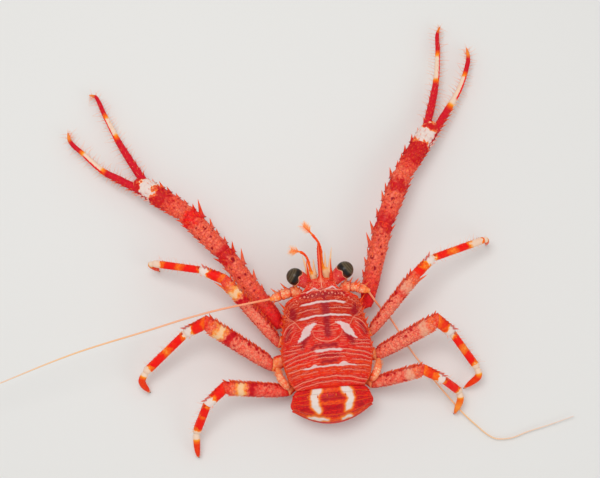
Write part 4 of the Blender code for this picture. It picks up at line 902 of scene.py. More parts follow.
# the back's grid, a rounded wall down from its rim, and a flat underside
def addShellBody(form, points, masks):
    rows, columns = points.shape[:2]
    index = np.arange(rows * columns).reshape(rows, columns)
    rim = np.concatenate([index[0], index[1:, -1], index[-1, -2::-1], index[-2:0:-1, 0]])
    quads = [np.stack([index[:-1, :-1], index[:-1, 1:], index[1:, 1:], index[1:, :-1]], -1).reshape(-1, 4)]
    flat = points.reshape(-1, 3)
    top, size = flat[rim], len(flat)
    grown = {name: [np.asarray(value, float).reshape(-1)] for name, value in masks.items()}
    layers, above, count = [flat], rim, len(rim)
    fall = shellPlan["edgeHeight"] - shellPlan["floor"]
    for out, height in shellPlan["wall"]:
        share = (shellPlan["edgeHeight"] - height) / fall
        ring = top.copy()
        ring[:, 0] *= 1 + out / 10.5
        ring[:, 1] -= np.maximum(top[:, 1] - shellPlan["undercut"], 0) * min(share * 6, 1.0)
        ring[:, 2] = top[:, 2] - (top[:, 2] - shellPlan["floor"]) * share
        layers.append(ring)
        below = size + np.arange(count)
        quads.append(np.stack([above, np.roll(above, -1), np.roll(below, -1), below], -1))
        above, size = below, size + count
        for name, rows_ in grown.items():
            rows_.append(rows_[0][rim] * (1.0 if name == "along" else max(0.0, 1 - 2.2 * share)))
    layers.append([layers[-1].mean(axis=0)])
    for rows_ in grown.values():
        rows_.append([0.5])
    fan = np.stack([above, np.roll(above, -1), np.full(count, size)], -1)
    form.add(np.concatenate(layers), np.concatenate(quads), fan,
             **{name: np.concatenate(rows_) for name, rows_ in grown.items()})


rostrum = {"root": (0.15, 14.3, 12.1), "tip": (0.3, 24.4, 13.2), "width": 1.0,
           "shape": ((0.0, 4.6), (0.05, 3.4), (0.10, 2.0), (0.15, 1.3), (0.22, 1.03), (0.5, 0.96),
                     (0.8, 0.78), (1.0, 0.2)),
           "besideRoot": (2.75, 14.7, 12.2), "besideTip": (3.0, 20.1, 13.2), "besideRadius": 0.36}
frontGranules = ((-0.23, 11.99, 0.2), (0.92, 12.05, 0.24), (2.55, 11.54, 0.25), (4.9, 11.23, 0.25),
                 (4.1, 11.21, 0.17),
                 (-4.29, 11.04, 0.25), (-3.43, 10.87, 0.2), (-5.37, 10.88, 0.18), (-2.35, 11.15, 0.2),
                 (-1.26, 11.45, 0.2),
                 (5.38, 10.73, 0.18), (3.3, 11.2, 0.17), (1.75, 11.4, 0.18), (-6.3, 10.3, 0.2),
                 (6.5, 10.1, 0.2),
                 (7.3, 9.5, 0.17), (-7.1, 9.5, 0.18), (0.3, 11.3, 0.14))
sideSpines = ((10.4, 2.4), (8.9, 1.0), (7.6, 1.3), (6.3, 0.9), (4.9, 1.5), (3.6, 1.1), (2.3, 1.2), (1.0, 1.1),
              (-0.9, 1.0),
              (-2.6, 0.9), (-4.2, 0.8), (-5.8, 0.7))


def shellFoot(x, y):  # where a spine or granule stands on the shell's back
    front = shellPlan["margin"] + shellPlan["lobeReach"]
    middle = np.linspace(shellPlan["rear"], front, 400)
    rows = shellPoint(middle, np.clip(x / shellHalfWidth(middle), -1, 1))
    return rows[np.argmin(np.abs(rows[:, 1] - y))]


def granule(form, x, y, radius, pale=0.0, joint=0.0):
    foot = shellFoot(x, y)
    way = unit(np.array([0.03 * x, 0.3, 1.0]))
    form.spine(foot - way * radius * 0.6, foot + way * radius * 0.9, radius, 9, 0.0, (0.15, 12), 0.45,
               along=0.9, pale=pale, stria=0.9, joint=joint)


def shellSpines(form):
    look = rostrum
    root, tip = np.array(look["root"]), np.array(look["tip"])
    shares = np.linspace(0, 1, 60)
    centres = root + (tip - root) * shares[:, None] + up * (0.25 * np.sin(math.pi * shares))[:, None]
    widths = look["width"] * smoothBetween(look["shape"], shares)
    height = np.minimum(widths, 0.9 + 0.2 * widths) * 0.8
    c, s = np.cos(fullTurn(24)), np.sin(fullTurn(24))
    side = unit(np.cross(tip - root, up))
    rings = ovals(centres, side, up, widths[:, None] / 2, height[:, None] / 2, 24)
    line = np.exp(-(c / 0.24) ** 2) * (s > 0) * (0.5 + 0.6 * np.exp(-shares * 6))[:, None]
    whole = np.zeros(rings.shape[:2])
    form.tube(rings, along=0.95 + 0.035 * (1 - np.abs(c)) + whole, stria=line,
              tip=0.4 * shares[:, None] ** 3 + whole,
              joint=0.4 * np.clip(1 - 1.6 * np.abs(c), 0, 1) + whole)
    rng = np.random.default_rng(4)
    for hand in sides.values():
        for k in range(9):  # low teeth along the rostrum's edges
            share = 0.22 + 0.075 * k
            foot = root + (tip - root) * share + [0.4 * hand * float(smoothBetween(look["shape"], share)), 0,
                                                  0.1]
            form.spine(foot, foot + [0.14 * hand, 0.3, 0.08], 0.10, 6, along=0.97)
        form.spine(mirrored(look["besideRoot"], hand), mirrored(look["besideTip"], hand),
                   look["besideRadius"], 14,
                   0.1, (1.6, 9), 0.7, along=0.95)
        for y, length in sideSpines:
            foot = shellPoint(np.array(y), np.array(hand * 0.99))
            foot[2] = shellPlan["edgeHeight"] - 0.15
            way = unit([0.62 * hand, 0.78, 0.12])
            form.spine(foot - way * 0.45, foot + way * length, 0.34, 9, 0.08, along=0.5, joint=0.3)
        for y in np.arange(-9.5, 9.8, 0.65):
            foot = shellPoint(np.array(y), np.array(hand * 0.985))
            foot[2] = shellPlan["edgeHeight"] - 0.1
            way = unit([0.6 * hand, 0.75, 0.2])
            form.spine(foot - way * 0.2, foot + way * rng.uniform(0.25, 0.5), 0.17, 7, along=0.4, joint=0.5)
    for x, y, radius in frontGranules:
        granule(form, x, y, radius * 1.5, 0.75, 0.3)
    for _ in range(100):  # fine granules between and behind those, denser at the corners, and over the lobe
        x = 8.2 * rng.uniform(-1, 1) * rng.uniform(0.5, 1) ** 0.5 + 0.2
        y = 11.4 - 0.038 * x * x + rng.uniform(-1.2, 0.8)
        granule(form, x, y, rng.uniform(0.08, 0.15), 0.2, rng.uniform(0.1, 0.6))
    for _ in range(110):
        granule(form, rng.uniform(-3.2, 3.3), rng.uniform(12.9, 15.1), rng.uniform(0.09, 0.17),
                rng.uniform(0, 0.3), 0.2)
    for _ in range(130):  # and along the sides ahead of the neck groove
        y = rng.uniform(4.2, 10.9)
        x = rng.choice((-1.0, 1.0)) * float(shellHalfWidth(y)) * rng.uniform(0.84, 0.98)
        granule(form, x, y, rng.uniform(0.09, 0.16), rng.uniform(0, 0.4), rng.uniform(0.4, 0.9))


def shellHairs(points):  # a fringe of short hairs along the front of each ridge
    form = Form()
    rng = np.random.default_rng(8)
    gridX, gridY = points[..., 0], points[..., 1]
    for ridge in ridges:
        first, last = ridge[2], ridge[3]
        x = np.arange(first + 0.2, last - 0.2, 0.16)
        x = x + rng.uniform(-0.04, 0.04, len(x))
        y = ridgeLine(ridge, x) - 0.02
        column = np.argmin(np.abs(gridX[len(gridX) // 2][None, :] - x[:, None]), axis=1)
        row = np.argmin(np.abs(gridY[:, column].T - y[:, None]), axis=1)
        roots = points[row, column]
        ways = np.stack([rng.normal(0, 0.15, len(x)), np.full(len(x), 0.9), np.full(len(x), 0.42)], -1)
        uv = np.stack([(roots[:, 0] + 12) / 24, (roots[:, 1] + 12) / 28], -1)
        form.hairs(roots - unit(ways) * 0.05, ways, rng.uniform(0.28, 0.42, len(x)), 0.035, uv, 0.1, 11)
    makePiece("carapace_fringe", form, hairLooks["pale"])


carapace()
report("carapace")


# Limbs

partShapes = {
    "ischium": ((0.0, 0.8), (0.5, 0.95), (1.0, 0.83)),
    "claw merus": ((0.0, 0.70), (0.08, 0.86), (0.30, 0.96), (0.60, 1.0), (0.93, 1.02), (0.98, 0.98),
                   (1.0, 0.90)),
    "claw carpus": ((0.0, 0.82), (0.06, 0.90), (0.2, 0.95), (0.50, 1.0), (0.90, 1.02), (0.97, 0.98),
                    (1.0, 0.90)),
    "palm": ((0.0, 0.80), (0.05, 0.88), (0.14, 0.93), (0.40, 0.98), (0.75, 1.0), (0.93, 0.96), (1.0, 0.90)),
    "merus": ((0.0, 0.70), (0.03, 0.80), (0.10, 0.90), (0.30, 0.98), (0.60, 1.0), (0.88, 0.97), (0.97, 0.90),
              (1.0, 0.86)),
    "carpus": ((0.0, 1.02), (0.08, 1.07), (0.25, 1.07), (0.50, 1.02), (0.86, 1.02), (0.96, 0.98),
               (1.0, 0.88)),
    "propodus": ((0.0, 0.90), (0.06, 0.96), (0.15, 0.98), (0.50, 0.99), (0.90, 1.0), (0.98, 0.95),
                 (1.0, 0.86))}


fringeReach = 0.025


def bandRamp(bands):  # (first, last, ink) plateaus as ramp stops, with an orange fringe beside pale bands
    stops = []
    for first, last, key in bands:
        if stops and (key in paleInks) != (stops[-1][1] in paleInks):
            shares = (0.25, 0.6)
            if key in paleInks:  # the fringe takes a little off the red band
                shares = (0.72, 0.38)
                stops[-1] = (max(stops[-1][0] - fringeReach, stops[-2][0] if stops[1:] else 0), stops[-1][1])
            else:
                first = min(first + fringeReach, last)
            before = stops[-1][0]
            fringe = [(before + (first - before) * share, tint) for share,
                      tint in zip(shares, ("flame", "orange"))]
            stops += sorted(fringe)
        stops.append((first, key))
        if key == "orange" and last - first > 0.06:
            stops.append(((first + last) / 2, "amber"))
        if last > first:
            stops.append((last, key))
    return tuple(stops)


def rowOfSpots(segment, first, last, spacing, degrees, radius, rng):  # painted dots in a row along a limb
    count = max(int((last - first) * segment.length / spacing), 1)
    return [(first + (last - first) * (k + rng.uniform(-0.35, 0.35)) / count, degrees + rng.uniform(-12, 12),
             radius * rng.uniform(0.65, 1.25)) for k in range(count + 1)]


def legSpots(segment, last, rng):
    spots = rowOfSpots(segment, 0.10, last, 1.8, 140, 0.52, rng)
    spots += rowOfSpots(segment, 0.08, last, 1.7, 122, 0.26, rng)
    spots += rowOfSpots(segment, 0.10, last, 2.2, 14, 0.28, rng)
    return spots + [(rng.uniform(0.06, last), rng.uniform(-40, 200), rng.uniform(0.10, 0.20))
                    for _ in range(int(segment.length * last * 2.4))]


# Each leg: where its root lies, its widths, its parts as length, heading and pitch, its foot and tip, the
# dark blotches of its merus as (place, angle, radius), and its colour bands as (first, last, ink)
legs = {
    "leg_2_left": {
        "root": (11.7, 1.2, 6.0), "widths": (3.0, 2.4, 1.85, 1.45),
        "merus": (21.1, 36.3, 16.5), "carpus": (6.2, 61.5, -9.3), "propodus": (13.2, 73.7, -19.4),
        "foot": (1.0, 95.0, -35.0), "tip": (40.3, 22.9),
        "blotches": ((.67, 120, .55), (.68, 75, .6), (.66, 160, .45), (.69, 30, .5)),
        "bands": {
            "merus": ((0, 0, "blush"), (.14, .14, "salmon"), (.35, .60, "coral"), (.64, .70, "crimson"),
                      (.77, .82, "straw"), (.93, 1, "vermilion")),
            "carpus": ((0, .08, "orange"), (.22, .50, "scarlet"), (.60, .62, "vermilion"), (.73, 1, "milk")),
            "propodus": ((0, .03, "cream"), (.05, .05, "orange"), (.09, .32, "scarlet"), (.42, .49, "orange"),
                         (.55, .77, "scarlet"), (.82, .82, "orange"), (.87, 1, "cream")),
            "dactyl": ((0, .10, "cream"), (.20, .72, "vermilion"), (.82, .84, "amber"), (.93, 1, "brown"))}},
    "leg_3_left": {
        "root": (13.8, -4.2, 6.0), "widths": (3.9, 2.8, 2.1, 1.7),
        "merus": (20.2, 53.6, 20.3), "carpus": (6.0, 108.9, -26.8), "propodus": (14.6, 126.5, -19.6),
        "foot": (2.7, 150.0, -20.0), "tip": (45.1, -7.6),
        "blotches": ((.64, 125, .75), (.67, 85, .7), (.62, 160, .55), (.68, 55, .45)),
        "bands": {
            "merus": ((0, 0, "blush"), (.14, .14, "salmon"), (.34, .57, "salmon"), (.63, .70, "crimson"),
                      (.77, .81, "straw"), (.94, 1, "vermilion")),
            "carpus": ((0, .06, "orange"), (.20, .48, "scarlet"), (.58, .60, "vermilion"), (.72, 1, "milk")),
            "propodus": ((0, .04, "cream"), (.07, .09, "orange"), (.13, .34, "scarlet"), (.41, .51, "orange"),
                         (.57, .81, "scarlet"), (.86, .87, "orange"), (.91, 1, "cream")),
            "dactyl": ((0, .10, "cream"), (.20, .70, "vermilion"), (.80, .82, "amber"), (.91, 1, "brown"))}},
    "leg_4_left": {
        "root": (10.7, -10.9, 5.6), "widths": (3.4, 2.5, 2.1, 1.6),
        "merus": (16.3, 83.3, 19.3), "carpus": (5.7, 128.1, -10.0), "propodus": (9.1, 150.4, -36.4),
        "foot": (2.6, 176.0, -18.0), "tip": (34.2, -24.8),
        "blotches": ((.57, 125, .6), (.58, 80, .7), (.57, 160, .5), (.58, 35, .6)),
        "bands": {
            "merus": ((0, 0, "scarlet"), (.15, .48, "blush"), (.56, .64, "crimson"),
                      (.73, .78, "straw"), (.91, 1, "vermilion")),
            "carpus": ((0, .05, "vermilion"), (.15, .45, "scarlet"), (.53, .55, "vermilion"),
                       (.69, .96, "milk")),
            "propodus": ((0, .08, "orange"), (.11, .34, "scarlet"), (.42, .42, "orange"),
                         (.49, .79, "scarlet"),
                         (.85, .85, "orange"), (.91, 1, "cream")),
            "dactyl": ((0, .15, "cream"), (.30, .72, "vermilion"), (.84, .86, "amber"), (.94, 1, "brown"))}},
    "leg_2_right": {
        "root": (11.5, 1.8, 6.0), "widths": (2.9, 2.4, 1.85, 1.4),
        "merus": (19.0, 44.8, 23.3), "carpus": (5.7, 49.8, -15.4), "propodus": (15.6, 73.2, -20.3),
        "foot": (0.9, 84.0, -35.0), "tip": (43.5, 21.8),
        "blotches": ((.66, 155, .42), (.64, 25, .4), (.30, 150, .45), (.47, 152, .4)),
        "bands": {
            "merus": ((0, 0, "salmon"), (.10, .30, "coral"), (.42, .56, "coral"), (.64, .68, "blush"),
                      (.75, .80, "peach"), (.88, .90, "orange"), (1, 1, "vermilion")),
            "carpus": ((0, .04, "vermilion"), (.12, .20, "scarlet"), (.36, .52, "orange"), (.70, 1, "milk")),
            "propodus": ((0, .02, "cream"), (.09, .27, "scarlet"), (.34, .47, "orange"),
                         (.51, .69, "scarlet"),
                         (.77, .94, "cream"), (.98, 1, "orange")),
            "dactyl": ((0, .10, "cream"), (.22, .72, "vermilion"), (.82, .84, "amber"), (.93, 1, "brown"))}},
    "leg_3_right": {
        "root": (12.3, -4.0, 6.0), "widths": (3.7, 2.7, 1.95, 1.65),
        "merus": (18.2, 68.1, 26.1), "carpus": (5.4, 130.2, -34.2), "propodus": (12.1, 145.8, -28.6),
        "foot": (2.3, 173.7, -22.0), "tip": (33.6, -14.1),
        "blotches": ((.60, 150, .5), (.68, 152, .48), (.63, 120, .4), (.52, 100, .35), (.30, 150, .4)),
        "bands": {
            "merus": ((0, 0, "salmon"), (.14, .40, "coral"), (.5, .62, "coral"), (.68, .70, "salmon"),
                      (.76, .81, "peach"), (.89, .91, "orange"), (1, 1, "vermilion")),
            "carpus": ((0, .10, "orange"), (.26, .42, "vermilion"), (.52, .54, "orange"), (.70, 1, "milk")),
            "propodus": ((0, .05, "cream"), (.12, .32, "scarlet"), (.38, .54, "orange"),
                         (.59, .84, "scarlet"),
                         (.90, 1, "cream")),
            "dactyl": ((0, .13, "cream"), (.25, .72, "vermilion"), (.84, .86, "amber"), (.94, 1, "brown"))}},
    "leg_4_right": {
        "root": (10.6, -11.0, 5.6), "widths": (3.1, 2.4, 2.0, 1.6),
        "merus": (13.9, 82.5, 25.2), "carpus": (5.5, 121.2, -13.6), "propodus": (7.7, 124.7, -47.0),
        "foot": (2.3, 180.0, -25.0), "tip": (30.4, -20.2),
        "blotches": ((.60, 140, .3), (.62, 30, .35)),
        "bands": {
            "merus": ((0, 0, "vermilion"), (.15, .40, "salmon"), (.5, .54, "salmon"), (.60, .64, "blush"),
                      (.72, .78, "peach"), (.87, .89, "orange"), (1, 1, "vermilion")),
            "carpus": ((0, .08, "orange"), (.24, .46, "vermilion"), (.56, .60, "orange"), (.75, 1, "milk")),
            "propodus": ((0, .08, "orange"), (.12, .74, "scarlet"), (.80, .80, "orange"), (.86, 1, "cream")),
            "dactyl": ((0, .14, "cream"), (.25, .75, "orange"), (.93, 1, "brown"))}}}
# What both legs of a pair share: the base, the end spine of the merus (place, length, radius) and how far
# the merus is spotted
legPairs = {"leg_2": {"base": (5.0, 3.0, 5.9), "endSpine": (0.88, 3.7, 0.46), "spotsEnd": 0.6},
            "leg_3": {"base": (5.4, -1.6, 5.9), "endSpine": (0.82, 1.3, 0.34), "spotsEnd": 0.6},
            "leg_4": {"base": (5.4, -5.8, 5.7), "endSpine": (0.84, 1.0, 0.30), "spotsEnd": 0.5}}
for name, leg in legs.items():
    leg.update(legPairs[name[:5]])
footFlat = 0.62           # width of the small flat under each leg's tip
legSpines = {"merus": ((0.10, 0.95, 13, 152, 0.7, 1.4), (0.08, 0.94, 17, 170, 0.6, 0.9),
                       (0.14, 0.92, 20, -10, 0.4, 0.6), (0.15, 0.85, 9, 205, 0.25, 0.5)),
             "carpus": ((0.22, 0.92, 5, 142, 0.5, 1.1), (0.3, 0.85, 4, 176, 0.3, 0.4),
                        (0.9, 0.9, 1, 20, 0.7, 0.7)),
             "propodus": ((0.08, 0.08, 1, 120, 0.7, 0.7), (0.10, 0.94, 9, 196, 0.25, 0.4))}
legScales = {"merus": {"pitch": 1.0, "columns": 15, "cover": 0.8, "rise": 0.10},
             "carpus": {"pitch": 0.85, "columns": 13, "cover": 0.7, "rise": 0.07},
             "propodus": {"pitch": 0.9, "columns": 11, "cover": 0.6, "rise": 0.045}}
legStrips = {"merus": (0.0, 0.24), "carpus": (0.25, 0.24), "propodus": (0.50, 0.24), "dactyl": (0.75, 0.24)}
# Hairs: how many per mm, angle round the limb, length
legHairs = {"merus": ((0.5, 178, 0.9), (0.5, -12, 0.8)), "carpus": ((0.8, 175, 1.1), (0.8, 0, 0.9)),
            "propodus": ((0.9, 178, 1.4), (0.9, 2, 1.4), (0.5, 165, 2.0), (1.6, 140, 0.5)),
            "dactyl": ((1.6, 182, 0.9), (1.6, -2, 0.9), (3.0, 150, 0.4))}
farFinish = {"light": ("flame", 0.35, 900.0), "net": ("red", 0.4, 900.0, 0.2)}
legFinish = {"merus": {"jag": 0.16, "light": ("peach", 0.6, 1200.0), "net": ("crimson", 0.6, 1250.0, 0.13)},
             "carpus": {"jag": 0.5, **farFinish}, "propodus": {"jag": 0.2, **farFinish}}


def taperedLimb(points, count, width, shape, flat, hand):  # a limb part along a smooth route
    widths = width * smoothBetween(shape, np.linspace(0, 1, count))
    return Segment(smoothPath(points, count), widths, widths * flat, hand)


def meetingFaces(ways, first):  # the plane of each joint, halfway between the parts that meet there
    return [unit(a + b) for a, b in zip([first] + ways, ways)] + [ways[-1]]


def walkingLeg(name, leg, seed):
    hand = sides[name.rsplit("_", 1)[1]]
    rng = np.random.default_rng(seed)
    base, joints = mirrored(leg["base"], hand), [mirrored(leg["root"], hand)]
    for part in legFinish:
        joints.append(joints[-1] + stride(*leg[part], hand))
    foot = joints[-1] + stride(*leg["foot"], hand)
    ways = [unit(b - a) for a, b in zip(joints, joints[1:])] + [unit(foot - joints[-1])]
    faces = meetingFaces(ways, unit(joints[0] - base))
    coat = Form()
    for index, part in enumerate(legFinish):
        width = leg["widths"][index]
        segment = shaft(joints[index], joints[index + 1], faces[index], faces[index + 1], partShapes[part],
                        width, width * 0.78, hand)
        spots, margin = [], ()
        if part == "merus":
            spots = legSpots(segment, leg["spotsEnd"], rng) + list(leg["blotches"])
            margin = ((-0.1, leg["spotsEnd"], 150, 12), (-0.1, 0.7, 12, 8))
        form = Form()
        limbShell(form, segment, scales=legScales[part], spots=spots, seed=seed + index, stripes=margin)
        for row in legSpines[part]:
            spineRow(form, segment, row, 0.32, 52, rng, dark=0.75 if row[3] > 90 else 0.0)
        if part == "merus":
            place, length, radius = leg["endSpine"]
            spineOn(form, segment, place, -38, length, radius, 68, 0.15, 12)
            spineOn(form, segment, 0.96, 100, 0.8, 0.25, 60)
        look = shellMaterial(name + " " + part, ramp=bandRamp(leg["bands"][part]), jagScale=900.0,
                             striaShare=0.6,
                             striaInk="scarlet", darkInk="crimson", tipInk="orange",
                             mottle=("scarlet", 0.6, 800.0), **legFinish[part])
        makePiece(part + "_" + name + "_shell", form, look, [part + "_" + name])
        for density, degrees, length in legHairs[part]:
            places = np.arange(0.06, 0.96, 1 / (density * segment.length))
            hairsOn(coat, segment, places, degrees, length, 0.07, 24, legStrips[part], seed + index, 14)
    dactyl(name, leg, joints[-1], foot, ways[-1], faces[-1], hand, coat, seed)
    makePiece(name + "_hairs", coat, hairLooks["gold"])


dactylTaper = ((0.0, 0.88), (0.10, 1.0), (0.28, 1.06), (0.48, 0.96), (0.64, 0.72), (0.77, 0.42), (0.87, 0.24),
               (1.0, 0.2))


def dactyl(name, leg, start, foot, way, face, hand, coat, seed):
    tip = mirrored((*leg["tip"], 0.0), hand)
    above = tip + np.array([0.0, 0.0, 1.6]) + (foot - tip) * 0.12
    start = start + way * (gap / 2 / (way @ face))
    centres = smoothPath([start, foot, above, tip], 36)
    centres[:, 2] = np.maximum(centres[:, 2], 0.0)
    widths = leg["widths"][3] * smoothBetween(dactylTaper, np.linspace(0, 1, 36))
    widths[-1] = footFlat * 0.6
    segment = Segment(centres, widths, widths * 0.9, hand)
    turning = np.linspace(1, 0, 36)[:, None] ** 6
    level = np.linspace(0, 1, 36)[:, None] ** 6
    segment.faces = unit(segment.ways * (1 - turning - level) + face * turning - up * level)
    form = Form()
    limbShell(form, segment, step=0.14, around=32, rim=None, seed=seed, lumps=0.03)
    for k in range(9):  # small horny spines under the dactyl
        spineOn(form, segment, 0.22 + 0.075 * k, 262, 0.32, 0.09, 45, 0.03, 6)
    look = shellMaterial(name + " dactyl", ramp=bandRamp(leg["bands"]["dactyl"]), jag=0.04, tipInk="brown",
                         striaInk="amber", light=("amber", 0.3, 1500.0), roughness=0.36)
    makePiece("dactyl_" + name + "_shell", form, look, ["dactyl_" + name])
    for density, degrees, length in legHairs["dactyl"]:
        places = np.arange(0.06, 0.9, 1 / (density * segment.length))
        hairsOn(coat, segment, places, degrees, length, 0.045, 42, legStrips["dactyl"], seed + 7)


for index, (name, leg) in enumerate(legs.items()):
    walkingLeg(name, leg, 20 + 10 * index)
report("walking legs")


# Chelipeds: part sizes, then the places and lengths of the long spines, the painted spots (place, angle from
# the outer side over the top, radius) and the colour bands of each
clawWidths = {"ischium": 3.0, "merus": 4.3, "carpus": 4.8, "palm": 5.0, "finger": 2.1, "thumb": 2.15}
fingerOffset = 1.2
fingerTaper = ((0.0, 1.0), (0.3, 0.88), (0.55, 0.68), (0.85, 0.54), (0.94, 0.42), (1.0, 0.16))
chelipeds = {
    "left": {
        "base": 6.6, "root": (11.0, 5.9, 5.8),
        "merus": (22.6, 33.0, 6.9), "carpus": (14.5, 38.3, -4.8), "palm": (13.6, 51.4, -8.0),
        "finger": ((6.6, 28.2, -6.9), (6.7, 25.8, -5.2), (8.5, 22.3, -5.4), (4.7, 20.6, -3.7),
                   (1.8, 62.8, -6.5)),
        "thumb": ((5.5, 56.7, -7.3), (5.4, 55.6, -6.3), (6.8, 43.0, -5.9), (4.8, 41.0, -4.8),
                  (2.6, 12.3, -6.6)),
        "spines": {
            "merus": ((0.30, 0.8), (0.43, 1.1), (0.57, 2.3), (0.78, 3.8), (0.95, 2.5)),
            "carpus": ((0.12, 1.5), (0.33, 1.1), (0.475, 2.4), (0.74, 4.5), (0.93, 1.2)),
            "palm": ((0.10, 1.0), (0.27, 1.3), (0.47, 1.6), (0.64, 1.7), (0.83, 1.0))},
        "spots": {
            "merus": ((.87, 105, .72), (.67, 60, .5), (.54, 98, .4), (.66, 114, .42), (.55, 46, .4),
                      (.82, 60, .4),
                      (.46, 90, .3), (.37, 80, .28), (.75, 20, .35), (.60, 150, .3)),
            "carpus": ((.52, 108, .62), (.46, 32, .5), (.33, 98, .35), (.17, 50, .4), (.40, 140, .3),
                       (.62, 70, .3)),
            "palm": ((.18, 75, .3), (.27, 110, .32), (.34, 85, .3), (.30, 50, .28), (.38, 128, .28))},
        "bands": {
            "merus": ((0, .10, "red"), (.40, .44, "blush"), (.54, .84, "salmon"), (.93, .97, "crimson"),
                      (1, 1, "vermilion")),
            "carpus": ((0, .06, "crimson"), (.18, .60, "salmon"), (.76, .90, "scarlet"), (1, 1, "salmon")),
            "palm": ((0, .06, "salmon"), (.20, .30, "blush"), (.44, .66, "crimson"), (.70, .70, "orange"),
                     (.735, .955, "milk"), (.99, 1, "crimson")),
            "finger": ((0, .48, "rose"), (.53, .69, "cream"), (.735, .94, "rose"), (.97, 1, "amber")),
            "thumb": ((0, .455, "rose"), (.505, .71, "cream"), (.755, .90, "rose"), (.94, 1, "amber"))}},
    "right": {
        "base": 7.9, "root": (11.0, 9.0, 5.8),
        "merus": (20.6, 18.6, 7.0), "carpus": (13.8, 26.0, -4.6), "palm": (14.5, 36.9, -7.9),
        "finger": ((7.0, 19.7, -5.0), (6.5, 15.8, -6.2), (7.5, 9.7, -5.3), (4.9, 5.6, -3.5),
                   (2.0, 25.7, -5.8)),
        "thumb": ((6.6, 36.9, -5.2), (6.6, 34.9, -6.1), (5.9, 25.4, -5.9), (3.5, 16.6, -4.9),
                  (2.6, -1.9, -6.7)),
        "spines": {
            "merus": ((0.33, 1.5), (0.47, 1.9), (0.60, 1.4), (0.70, 3.5), (0.87, 3.0)),
            "carpus": ((0.10, 1.9), (0.42, 2.3), (0.60, 2.0), (0.87, 2.4)),
            "palm": ((0.10, 1.2), (0.25, 1.3), (0.37, 2.0), (0.62, 1.8), (0.83, 1.0))},
        "spots": {
            "merus": ((.43, 90, .62), (.56, 120, .6), (.70, 80, .4), (.78, 95, .45), (.62, 55, .35),
                      (.50, 50, .3),
                      (.84, 60, .3)),
            "carpus": ((.45, 92, .55), (.28, 80, .32), (.25, 115, .3), (.55, 60, .3), (.50, 130, .3)),
            "palm": ((.12, 85, .28), (.20, 108, .3), (.27, 70, .28), (.24, 130, .26))},
        "bands": {
            "merus": ((0, .10, "red"), (.34, .38, "blush"), (.48, .84, "salmon"), (.92, .97, "crimson"),
                      (1, 1, "vermilion")),
            "carpus": ((0, .06, "crimson"), (.22, .28, "blush"), (.40, .52, "salmon"), (.66, .80, "crimson"),
                       (.93, 1, "salmon")),
            "palm": ((0, .03, "salmon"), (.14, .18, "blush"), (.32, .63, "crimson"), (.67, .67, "orange"),
                     (.705, .93, "milk"), (.97, 1, "crimson")),
            "finger": ((0, .44, "rose"), (.485, .69, "cream"), (.735, .935, "rose"), (.965, 1, "amber")),
            "thumb": ((0, .36, "rose"), (.415, .69, "cream"), (.735, .89, "rose"), (.93, 1, "amber"))}}}
# Rows of short spines: first and last place, count, angle, first and last length
clawSpines = {
    "ischium": ((0.3, 0.9, 3, 170, 0.7, 1.2), (0.4, 0.9, 2, 120, 0.4, 0.6)),
    "merus": ((0.70, 0.95, 3, 12, 0.8, 1.8), (0.14, 0.92, 10, 60, 0.5, 0.9), (0.18, 0.96, 10, 95, 0.4, 0.8),
              (0.20, 0.95, 9, 124, 0.5, 1.0), (0.2, 0.9, 8, 150, 0.35, 0.6), (0.2, 0.8, 7, 190, 0.4, 0.6),
              (0.2, 0.9, 7, 28, 0.3, 0.5)),
    "carpus": ((0.10, 0.94, 7, 10, 0.9, 1.4), (0.12, 0.92, 8, 40, 0.4, 0.8), (0.14, 0.92, 7, 66, 0.5, 0.9),
               (0.14, 0.94, 7, 92, 0.45, 0.8), (0.16, 0.94, 7, 118, 0.6, 0.9), (0.2, 0.9, 6, 146, 0.4, 0.6),
               (0.2, 0.9, 5, 192, 0.4, 0.6)),
    "palm": ((0.06, 0.92, 9, 8, 0.8, 1.3), (0.08, 0.85, 8, 34, 0.4, 0.5), (0.10, 0.80, 8, 60, 0.5, 0.45),
             (0.12, 0.80, 8, 88, 0.45, 0.35), (0.12, 0.88, 8, 116, 0.6, 0.5), (0.15, 0.85, 7, 142, 0.4, 0.4),
             (0.2, 0.85, 6, 190, 0.4, 0.4)),
    "finger": ((0.05, 0.34, 5, 178, 0.9, 0.6), (0.05, 0.20, 3, 130, 0.4, 0.3)),
    "thumb": ((0.04, 0.54, 9, 2, 1.5, 0.7), (0.06, 0.30, 4, 40, 0.4, 0.3))}
clawScales = {
    "ischium": {"pitch": 0.8, "columns": 12, "cover": 0.8, "rise": 0.10},
    "merus": {"pitch": 0.95, "columns": 19, "cover": 0.88, "rise": 0.15},
    "carpus": {"pitch": 0.95, "columns": 20, "cover": 0.88, "rise": 0.15},
    "palm": {"pitch": 0.9, "columns": 20, "cover": 0.82, "rise": 0.12},
    "finger": {"pitch": 0.8, "columns": 10, "cover": 0.7, "rise": 0.05},
    "thumb": {"pitch": 0.8, "columns": 10, "cover": 0.7, "rise": 0.05}}
clawStrips = {"ischium": (0.0, 0.1), "merus": (0.12, 0.2), "carpus": (0.33, 0.2), "palm": (0.54, 0.2),
              "finger": (0.76, 0.1), "thumb": (0.88, 0.1)}


def fingerSegment(root, steps, width, hand, startFace, sink):
    points = [np.array(root, float)]
    for part in steps:
        points.append(points[-1] + stride(*part, hand))
    way = unit(points[1] - points[0])
    points[0] = root + way * (gap / 2 / (way @ startFace) if sink == 0.0 else -sink)
    segment = taperedLimb(points, 70, width, fingerTaper, 0.95, hand)
    turning = np.linspace(1, 0, 70)[:, None] ** 8
    segment.faces = unit(segment.ways * (1 - turning) + startFace * turning)
    return segment


